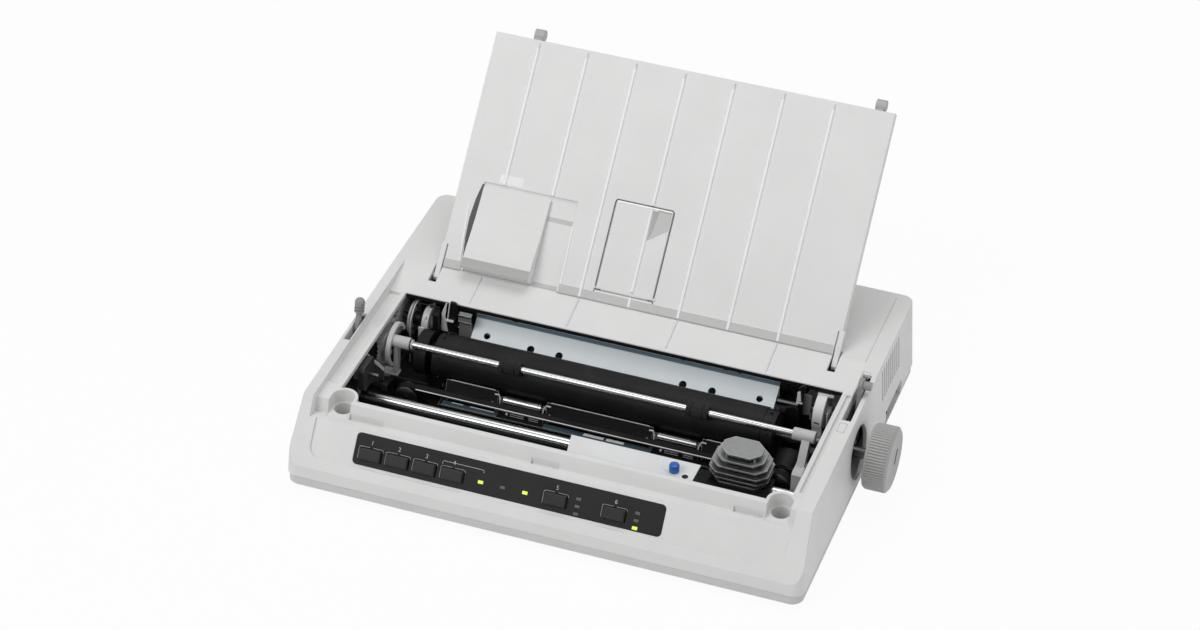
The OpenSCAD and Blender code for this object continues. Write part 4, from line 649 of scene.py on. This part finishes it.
def make_left_wheel():
    """Left pin wheel: disc with dark spots of painted shade for its holes, black flange and pale drum with
    pins.
    """
    bm = bmesh.new()
    disc = [(-153, 2.6), (-153, 11.9), (-152.6, 12.4), (-151.8, 12.4), (-151.4, 11.9), (-151.4, 2.6)]
    drum = [(-142.6, 2.6), (-142.6, 11.4), (-138.2, 11.4), (-137.8, 11.0),
            (-137.8, 6), (-136.2, 5.5), (-136.2, 2.6)]
    lathe(bm, TRACTOR, disc, 56)
    lathe(bm, TRACTOR, drum, 56)
    for i in range(8):
        a = math.radians(45 * i)
        c, d = math.cos(a), math.sin(a)
        tip = [(-141.3, 11), (-139.1, 11), (-139.7, 12.8), (-140.7, 12.8)]

        def on_drum(p, w, c=c, d=d):
            return m(p[0], TRACTOR[0] + p[1] * c - w * d, TRACTOR[1] + p[1] * d + w * c)

        prism(bm, tip, -1.0, 1.0, on_drum)
    piece("left_wheel", bm, "gear", "tractor", ("pin_wheel_left",), 0.15)
    bm = bmesh.new()
    tube(bm, TRACTOR, 2.6, 4.5, -151.5, -145.0)
    lathe(bm, TRACTOR, [(-145.0, 2.6), (-145.0, 8.6), (-142.7, 10.6), (-142.5, 2.6)], 56)
    # Dark spots on the flange, painted shade for the disc's holes.
    for p in ring_points(TRACTOR, 8.6, 9, 0.3):
        rod(bm, p, 0.9, -151.45, -151.25, 16, 0.05)
    piece("left_wheel_flange", bm, "black", "tractor", (), 0.15)


def make_left_supports():
    """Spring strip, bearing post, clip, lever and folded plate on the chassis, left of the guide plate."""
    bm = bmesh.new()
    # The spring strip is pale paint, a painted highlight of bright steel.
    hoop = arc(TRACTOR, 13.3, 40, 185, 24) + [(149.6, 24), (148.8, 5)]
    prism(bm, strip(hoop, 0.6), -150.0, -149.4, along_x)
    finger = [(149.4, 36.5), (149.0, 31), (147.8, 22), (148.2, 5)]
    prism(bm, strip(finger, 0.8), -143.2, -139.2, along_x)
    piece("left_spring", bm, "lip", "base", ())
    bm = bmesh.new()
    block(bm, (-134.6, -130.4), (153.5, 160.4), (5, 46.5))
    block(bm, (-130.5, -117.2), (158.6, 161.6), (5, 30.5))
    lever = [(-125.4, 30), (-119.7, 30), (-118.2, 44), (-118.9, 54.8),
             (-120.2, 55.9), (-123.4, 55.9), (-125.4, 42)]
    prism(bm, lever, 158.9, 161.2, along_y)
    for x in (-146.4, -137.2):
        block(bm, (x - 0.9, x + 0.9), (158.0, 160.4), (48.1, 49.2))
    block(bm, (-147.3, -133), (159.6, 160.4), (48.0, 49.0))
    block(bm, (-134.4, -131), (159.6, 160.4), (44, 49))
    piece("left_bearing", bm, "black", "base", (), 0.4)
    bm = bmesh.new()
    clip = [(-130.1, 31), (-124.9, 31), (-126.9, 43.5), (-125.5, 54.6), (-126.4, 54.7), (-129.3, 46.4)]
    prism(bm, clip, 158.2, 159.0, along_y)
    prism(bm, strip([(-125.2, 40.8), (-123.6, 55.2)], 0.7), 158.2, 159.0, along_y)
    block(bm, (-126.2, -120.6), (157.2, 159.0), (40.2, 41.4))
    piece("left_clip", bm, "white", "base", (), 0.15)
    bm = bmesh.new()
    fold = [(158.9, 5), (158.9, 41.5), (157.5, 42.6), (157.5, 47.8), (160.2, 49.0)]
    prism(bm, strip(fold, 0.9), -116.6, -107.4, along_x)
    piece("left_fold", bm, "grey_plate", "base", (), 0.2)
    bm = bmesh.new()
    block(bm, (-116.5, -107.5), (156.6, 157.2), (42.2, 43.4))
    block(bm, (-116.5, -107.5), (156.6, 157.2), (47.0, 48.8))
    piece("left_fold_lips", bm, "steel", "base", (), 0.1)


def make_feed_motor():
    """Flat dark motor housing on its mounting plate."""
    y, z, half, cut = 85.3, 38.3, 9.7, 2.5
    bm = bmesh.new()
    square = [(y + p[0], z + p[1]) for p in octagon(2 * half, 2 * half, cut)]
    prism(bm, square, -158.1, -153.4, along_x)
    posts = [(76.3, 25.3), (73.3, 45.3), (93.3, 38.3)]
    for p in posts:
        prism(bm, capsule((y, z), 6.0, p, 3.5), -159.2, -158.0, along_x)
    piece("motor_housing", bm, "grey_dark", "base", ("line_feed_motor",), 0.4)


def make_gusset():
    """Gusset beside the bail's left pivot, with a double strip along its top from under the rim to the deck
    in pale paint, a painted highlight.
    """
    start, end = Vector((-161.6, 93.0, 48.6)), Vector((-150.6, 103.4, 28.6))
    bm = bmesh.new()
    for lift in (0.0, 1.7):
        corners = []
        for p in (start, end):
            for dy, dz in ((0, 0), (0.8, 0), (0.8, 0.7), (0, 0.7)):
                corners.append(bm.verts.new(m(p.x, p.y + dy, p.z + dz + lift)))
        bridge(bm, corners[:4], corners[4:])
        bm.faces.new(corners[:4])
        bm.faces.new(corners[4:][::-1])
    piece("gusset_edge_highlight", bm, "lip", "base", ())
    bm = bmesh.new()
    low = [Vector((-158.6, 95.9, 21.2)), Vector((-150.6, 103.4, 21.2))]
    top = [Vector((-158.6, 95.9, 43.4)), Vector((-150.6, 103.4, 28.7))]
    front = [bm.verts.new(m(*p)) for p in (low[0], low[1], top[1], top[0])]
    back = [bm.verts.new(m(p.x, p.y + 0.8, p.z)) for p in (low[0], low[1], top[1], top[0])]
    bm.faces.new(front)
    bm.faces.new(back[::-1])
    bridge(bm, front, back)
    block(bm, (-151.6, -150.4), (103.2, 104.4), (5, 28.6))
    piece("left_gusset", bm, "grey_dark", "base", ())


def make_right_supports():
    """Curved shield over the right pin wheel, with its plates, lever and bearing."""
    bm = bmesh.new()
    hoop = arc(TRACTOR, 13.9, 92, 208, 24) + [(150.6, 20), (151, 5)]
    prism(bm, strip(hoop, 0.8), 140.6, 147.6, along_x)
    block(bm, (140.6, 151.6), (161.4, 162.2), (46.6, 48.8))
    block(bm, (149.6, 150.6), (152.6, 153.4), (5, 40))
    piece("right_shield", bm, "white", "base", (), 0.25)
    bm = bmesh.new()
    prism(bm, capsule((142.6, 33.0), 0.5, (145.6, 32.6), 0.5, 6), 148.75, 148.95, along_y)
    cover = [(120.4, 5), (120.4, 34), (122, 38.2), (126.8, 40.4), (129.8, 38.4), (130.8, 31), (130.8, 5)]
    prism(bm, cover, 151.0, 153.4, along_y)
    lever = [(128.4, 5), (133.0, 5), (131.6, 41), (133.0, 54.6), (131.8, 55.6), (128.2, 52)]
    prism(bm, lever, 156.6, 158.4, along_y)
    block(bm, (130, 136), (160.0, 160.7), (5, 40))
    piece("right_bearing", bm, "black", "base", (), 0.35)
    bm = bmesh.new()
    # The lever plate is pale paint, a painted highlight of a bright strip.
    prism(bm, [(127.4, 41.2), (130.6, 42.4), (129.8, 50.4), (127.9, 49.6)], 155.8, 156.5, along_y)
    prism(bm, strip([(127.2, 40.6), (131.6, 40.9)], 0.7), 155.4, 156.5, along_y)
    piece("right_lever_plate", bm, "lip", "base", (), 0.1)
    bm = bmesh.new()
    prism(bm, [(130.2, 46.8), (137.0, 46.2), (136.4, 29.8), (129.2, 28.8)], 159.4, 160.0, along_y)
    piece("right_plate", bm, "grey_plate", "base", (), 0.15)


def make_guide_edge():
    """Turned-up edge of the rear guide plate, painted dark as shade, and a black strip of painted shade on
    the rim's inner face behind it.
    """
    bm = bmesh.new()
    block(bm, (-106.8, 111.8), (167.5, 167.76), (41.9, 45.0))
    piece("guide_turned_edge", bm, "guide_edge", "base", ())
    bm = bmesh.new()
    block(bm, (-157.3, 157.3), (162.3, 162.66), (49.6, 52.3))
    piece("rim_shadow_strip", bm, "black", "base", ())


# ---- Pressure frame ----


def make_press_detail():
    """Bright lips along the shields' edges, slotted strips, screws and plates on the pressure frame; the
    lips, slot edges and screws are pale paint, a painted highlight.
    """
    bm = bmesh.new()
    for left, right in ((-69.4, -38.0), (41.4, 73.0)):
        hook_left = [(left - 3.6, 22.9), (left - 0.6, 23.1), (left, 21.4), (left, 11.8)]
        hook_right = [(right + 5.4, 22.8), (right + 2.2, 22.9), (right + 0.6, 20.6), (right - 0.9, 13.0)]
        for hook in (hook_left, hook_right):
            prism(bm, strip(hook, 0.75), 113.2, 114.0, along_y)
    for x0, x1 in ((-109, -71), (-36, 40), (75, 109)):
        prism(bm, strip([(x0 + 0.5, 12.9), (x1 - 0.5, 12.9)], 0.7), 110.9, 111.5, along_y)
        rim = [(x0 + 0.2, 19.0), (x0 + 0.8, 22.4), (x0 + 3.2, 24.3),
               (x1 - 3.2, 24.3), (x1 - 0.8, 22.4), (x1 - 0.2, 19.0)]
        prism(bm, strip(rim, 0.45), 115.9, 116.3, along_y)
    piece("press_lips", bm, "lip", "pressure", ())
    bm = bmesh.new()
    for x0 in (-69.6, 41.2):
        block(bm, (x0, x0 + 32.6), (110.2, 110.8), (8.9, 12.6))
    piece("press_strips", bm, "press", "pressure", (), 0.1)
    bm = bmesh.new()
    for x0 in (-69.6, 41.2):
        for a, b in ((8.8, 18.8), (22.2, 29.2)):
            for z in (9.9, 11.5):
                prism(bm, strip([(x0 + a, z), (x0 + b, z)], 0.35), 109.95, 110.25, along_y)
        rod(bm, (x0 + 6.4, 11.0), 1.0, 109.4, 110.25, 20, 0.2, at=along_y)
    for x in (-74.6, -33.2, 36.6):
        rod(bm, (x, 15.0), 1.6, 112.2, 113.3, 24, 0.4, at=along_y)
    piece("press_slots", bm, "lip", "pressure", ())
    bm = bmesh.new()
    for x0, x1 in ((-109.5, -70), (-36, 41)):
        block(bm, (x0, x1), (106.5, 111.2), (9.15, 9.4))
    piece("press_plates", bm, "blue_plate", "pressure", ())
    bm = bmesh.new()
    for x0, x1 in ((-103.5, -95), (-90, -72.5)):
        block(bm, (x0, x1), (110.0, 110.8), (9.42, 9.6))
    for x0, x1 in ((-7.5, 7), (9, 21.5)):
        block(bm, (x0, x1), (108.2, 110.8), (9.42, 9.6))
    piece("press_ticks", bm, "label", "pressure", ())


def make_belt_highlight():
    """Made up: a bright line of the photograph, drawn as a pale cord on the belt that paints the highlight;
    likelier a lip behind it.
    """
    bm = bmesh.new()
    rod(bm, (100.3, 21.8), 0.35, -126, 126, 16, 0.1)
    piece("belt_highlight_line", bm, "lip", "base", ())


def make_gap_knob():
    """Blue knob on a thin slide just above the cable cover."""
    bm = bmesh.new()
    lathe(bm, (71.2, 65.4), [(33.6, 3.5), (38.4, 3.5), (39.1, 3.1), (39.4, 2.2), (39.5, 0.3)], 40, at=along_z)
    piece("gap_knob", bm, "blue", "gap_adjuster", ("gap_lever",))
    bm = bmesh.new()
    prism(bm, capsule((66.0, 68.6), 3.9, (71.2, 65.6), 3.9, 12), 33.3, 33.6, along_z)
    piece("gap_slide", bm, "white", "gap_adjuster", ())


def make_cable_cover():
    """Pale plate, slanted on the left, on one long wall, with a black disc of painted shade for the hole on
    its right.
    """
    bm = bmesh.new()
    prism(bm, [(-5.2, 78), (85.7, 78), (85.0, 45), (0.8, 45)], 32, 33.2, along_z)
    block(bm, (0, 84.5), (57.5, 58.7), (5, 32.1))
    block(bm, (0, 84.5), (57.5, 62), (5, 6.2))
    piece("cable_plate", bm, "white", "base", ("cable_cover",), 0.15)
    bm = bmesh.new()
    rod(bm, (79.6, 62.6), 2.2, 33.15, 33.24, 28, 0.02, at=along_z)
    piece("cable_hole_shade", bm, "black", "base", ())


# ---- Separator, flap and deck details ----


def on_separator(p, w):
    """Point (x, u) of the separator, w out of its pivot plane."""
    return sep(p[0], p[1], w)


def trace(bm, pts, width, w0, w1, at):
    """Line of round-ended dashes along a path."""
    for p, q in zip(pts, pts[1:]):
        if math.dist(p, q) > 0.01:
            prism(bm, capsule(p, width / 2, q, width / 2, 6), w0, w1, at)


RIB_X = [-112 + 35.7 * i for i in range(7)]


def rib(bm, x, u0, u1):
    """Soft-sided rib cap from u0 to u1."""
    f = SEP_FACE - 0.05
    prism(bm, [(x - 1.5, f), (x - 0.75, f + 1.3), (x + 0.75, f + 1.3), (x + 1.1, f)], u0, u1,
          lambda p, u: sep(p[0], u, p[1]))


def make_ribs():
    """Rib caps on the separator and its flap in a paler plastic, a painted highlight, and a darker band of
    painted shade along the separator's foot.
    """
    bm = bmesh.new()
    for i, x in enumerate(RIB_X):
        low = 71.4 if i < 2 else 7.2
        if i == 3:
            rib(bm, x, 7.2, 14.2)
            low = 79.4
        rib(bm, x, low, RIB_TOP)
    piece("rib_caps", bm, "rib", "separator", ())
    bm = bmesh.new()
    rib(bm, RIB_X[3], 18.0, 76.6)
    piece("flap_rib_cap", bm, "rib", "flap", ())
    bm = bmesh.new()
    f = SEP_FACE - 0.05
    for x0, x1 in ((-56.2, 140.6), (-140.6, -128.4)):
        prism(bm, [(x0, 7.0), (x1, 7.0), (x1, 12.9), (x0, 12.9)], f, f + 0.85, on_separator)
    piece("separator_foot_shade", bm, "shade", "separator", ())


def make_separator_detail():
    """Painted shade in the slit round the flap, the dent beside its rib, the guide's cheek and front fold and
    the track's steps, pale track edges as painted highlights, and a blank label.
    """
    x0, x1, u0, u1 = -31.5, 11.1, 15.0, 78.6
    f = SEP_FACE - 0.05
    bm = bmesh.new()
    corner = 2.2
    path = [(x0, u0), (x0, u1 - corner)] + arc((x0 + corner, u1 - corner), corner, 180, 90, 6)
    path += arc((x1 - corner, u1 - corner), corner, 90, 0, 6) + [(x1, u1 - corner), (x1, u0)]
    trace(bm, path, 0.75, f, f + 0.11, on_separator)
    trace(bm, [(x0 - 0.6, u0 - 4.4), (x0, u0)], 0.6, f, f + 0.24, on_separator)
    trace(bm, [(x1 - 0.4, u0 - 4.4), (x1, u0)], 0.6, f, f + 0.24, on_separator)
    trace(bm, [(x0, u0), (x0 + 4, u0)], 0.6, f, f + 0.11, on_separator)
    trace(bm, [(x1 - 4, u0), (x1, u0)], 0.6, f, f + 0.11, on_separator)
    piece("flap_slit_shade", bm, "recess", "separator", ())
    bm = bmesh.new()
    prism(bm, [(0.6, 76.2), (9.6, 76.2), (9.6, 64.5), (-3.4, 54.8), (-1.0, 62.5)], f, f + 0.12, on_separator)
    piece("flap_dent", bm, "shade", "flap", ())
    bm = bmesh.new()
    prism(bm, [(-3.6, 76.2), (0.6, 76.2), (-1.0, 62.5), (-3.4, 54.8)], f, f + 0.12, on_separator)
    prism(bm, [(-0.4, 77.2), (9.6, 77.2), (9.6, 76.1), (-0.4, 76.1)], f, f + 0.12, on_separator)
    piece("flap_dent_side", bm, "dent", "flap", ())
    bm = bmesh.new()
    for a, b in ((-116.3, -111.6), (-111.0, -99.2)):
        prism(bm, [(a, 72.6), (b, 72.6), (b, 78.6), (a, 78.6)], f, f + 0.14, on_separator)
    piece("separator_label", bm, "label", "separator", ())
    bm = bmesh.new()
    trace(bm, [(-57.0, 53.4), (-55.8, 9.0)], 1.3, f, f + 0.5, on_separator)
    trace(bm, [(-134.0, 52.6), (-129.8, 8.4)], 1.3, f, f + 0.5, on_separator)
    piece("track_rails", bm, "rib", "separator", ())
    bm = bmesh.new()
    for u0, u1 in ((53.6, 56.8), (7.4, 10.4)):
        step = [(-76.0, u0), (-58.0, u0), (-58.0, u1), (-76.0, u1)]
        prism(bm, step, SEP_FACE - 1.05, SEP_FACE - 0.88, on_separator)
    piece("track_step_shade", bm, "shade", "separator", ())
    bm = bmesh.new()
    cheek = [(-126.4, 69.5), (-127.6, 69.0), (-129.9, 58), (-131.2, 44),
             (-130.6, 30), (-128.6, 14), (-126.4, 11)]
    prism(bm, cheek, f, f + 0.3, on_separator)
    piece("guide_cheek_shade", bm, "recess", "guide", ())
    bm = bmesh.new()
    fold = strip([(15.6, 11.36), (11.5, 12.08), (8.9, 13.1)], 0.22)
    prism(bm, fold, -125.9, -76.6, lambda p, x: sep(x, p[0], p[1]))
    piece("guide_front_shade", bm, "dent", "guide", ())


def deck_z(y):
    """Height of the case's side tops at y."""
    return min(60.0, 57.5 + 2.5 * (y - 28) / 162)


def make_deck_detail():
    """Seam and two marked squares on the right side top, and a moulding seam behind them, as darker lines of
    painted shade.
    """
    bm = bmesh.new()

    def on_deck(p, w):
        return m(p[0], p[1], deck_z(p[1]) + w)

    for x0, x1, y0, y1 in ((166.0, 171.2, 173.6, 180.4), (166.8, 171.8, 113.0, 122.6)):
        trace(bm, [(x0, y0), (x1, y0), (x1, y1), (x0, y1), (x0, y0)], 0.35, -0.05, 0.06, on_deck)
    trace(bm, [(164.4, 190.5), (164.4, 230), (164.4, 270)], 0.4, -0.05, 0.03, on_deck)
    piece("deck_line_shade", bm, "dent", "base", ())


def make_knob_groove_shade():
    """Short dark line of painted shade, for a groove, on the platen knob's face."""
    bm = bmesh.new()
    prism(bm, capsule((143.8, 30.6), 0.4, (138.8, 21.9), 0.4, 6), 201.6, 202.25, along_x)
    piece("knob_groove_shade", bm, "recess", "platen", ())


# ---- Camera, floor and light ----


def make_camera():
    """The photograph's camera, fitted to the edges of the case with its width held at 360 mm."""
    az, el, roll = (math.radians(a) for a in (CAMERA_AZIMUTH, CAMERA_HEIGHT, CAMERA_ROLL))
    back = Vector((math.sin(az) * math.cos(el), -math.cos(az) * math.cos(el), math.sin(el)))
    right = Vector((math.cos(az), math.sin(az), 0))
    up = back.cross(right)
    right2 = math.cos(roll) * right + math.sin(roll) * up
    up2 = -math.sin(roll) * right + math.cos(roll) * up
    data = bpy.data.cameras.new("photo_camera")
    data.sensor_width = SENSOR_WIDTH
    data.lens = SENSOR_WIDTH * FOCAL_PIXELS / IMAGE_WIDTH
    data.clip_start, data.clip_end = 0.1, 50
    cam = bpy.data.objects.new("photo_camera", data)
    scene.collection.objects.link(cam)
    turn = Matrix((right2, up2, back)).transposed()
    cam.matrix_world = Matrix.Translation(m(*CAMERA_AT)) @ turn.to_4x4()
    scene.camera = cam


def white_seen(nt, shader, out):
    """Mixes in plain white, by WHITE_SHARE, where camera, glossy and transmission rays see the floor."""
    path = nt.nodes.new("ShaderNodeLightPath")
    total = path.outputs["Is Camera Ray"]
    for name in ("Is Glossy Ray", "Is Transmission Ray"):
        add = nt.nodes.new("ShaderNodeMath")
        add.operation = "MAXIMUM"
        nt.links.new(total, add.inputs[0])
        nt.links.new(path.outputs[name], add.inputs[1])
        total = add.outputs[0]
    share = nt.nodes.new("ShaderNodeMath")
    share.operation = "MULTIPLY"
    share.inputs[1].default_value = WHITE_SHARE
    nt.links.new(total, share.inputs[0])
    white = nt.nodes.new("ShaderNodeEmission")
    white.inputs["Color"].default_value = (1, 1, 1, 1)
    mix = nt.nodes.new("ShaderNodeMixShader")
    nt.links.new(share.outputs[0], mix.inputs["Fac"])
    nt.links.new(shader, mix.inputs[1])
    nt.links.new(white.outputs[0], mix.inputs[2])
    nt.links.new(mix.outputs[0], out)


def make_floor():
    """Pale floor that shows a faint shadow of the part."""
    mesh = bpy.data.meshes.new("studio_floor")
    s = FLOOR_HALF
    mesh.from_pydata([(-s, -s, 0), (s, -s, 0), (s, s, 0), (-s, s, 0)], [], [(0, 1, 2, 3)])
    floor = bpy.data.objects.new("studio_floor", mesh)
    scene.collection.objects.link(floor)
    mat, nt, bsdf = new_material("studio_white")
    bsdf.inputs["Base Color"].default_value = (0.9, 0.9, 0.9, 1)
    bsdf.inputs["Roughness"].default_value = 0.8
    white_seen(nt, bsdf.outputs[0], nt.nodes["Material Output"].inputs["Surface"])
    mesh.materials.append(mat)


def make_world():
    """Even light from all round, plain white where the camera sees it."""
    world = bpy.data.worlds.new("studio")
    scene.world = world
    world.use_nodes = True
    nt = world.node_tree
    back = nt.nodes["Background"]
    back.inputs["Color"].default_value = (1, 1, 1, 1)
    path = nt.nodes.new("ShaderNodeLightPath")
    level = nt.nodes.new("ShaderNodeMapRange")
    level.inputs["To Min"].default_value = WORLD_LIGHT
    level.inputs["To Max"].default_value = 1.0
    nt.links.new(path.outputs["Is Camera Ray"], level.inputs["Value"])
    nt.links.new(level.outputs["Result"], back.inputs["Strength"])


def make_lamp(name, at, target, size, power):
    """Rectangular area lamp aimed at target."""
    data = bpy.data.lights.new(name, "AREA")
    data.shape = "RECTANGLE"
    data.size, data.size_y = size
    data.energy = power
    lamp = bpy.data.objects.new(name, data)
    lamp.location = at
    lamp.rotation_euler = (Vector(target) - Vector(at)).to_track_quat("-Z", "Y").to_euler()
    scene.collection.objects.link(lamp)


make_knob()
make_head()
make_bail_left()
make_bail_right()
make_bail_roller("bail_roller_left", -63.5, "bail_roll_left")
make_bail_roller("bail_roller_right", 70.0, "bail_roll_right")
make_left_wheel()
make_left_supports()
make_feed_motor()
make_gusset()
make_right_supports()
make_guide_edge()
make_press_detail()
make_belt_highlight()
make_gap_knob()
make_cable_cover()
make_ribs()
make_separator_detail()
make_deck_detail()
make_knob_groove_shade()
make_panel_print()
for index, x in enumerate(BUTTON_X):
    make_number("button_number_%d" % (index + 1), str(index + 1), x, 26.0, 4.2)

make_camera()
make_floor()
make_world()
make_lamp("key_lamp", (-1.1, -1.5, 1.7), (0, 0, 0.05), (1.4, 1.0), 17)
make_lamp("top_lamp", (0.1, 0.4, 2.0), (0, 0, 0), (1.6, 1.2), 11)
make_lamp("side_lamp", (1.9, -0.3, 1.0), (0, 0, 0.05), (1.0, 1.0), 2.4)
scene.view_settings.view_transform = "Standard"
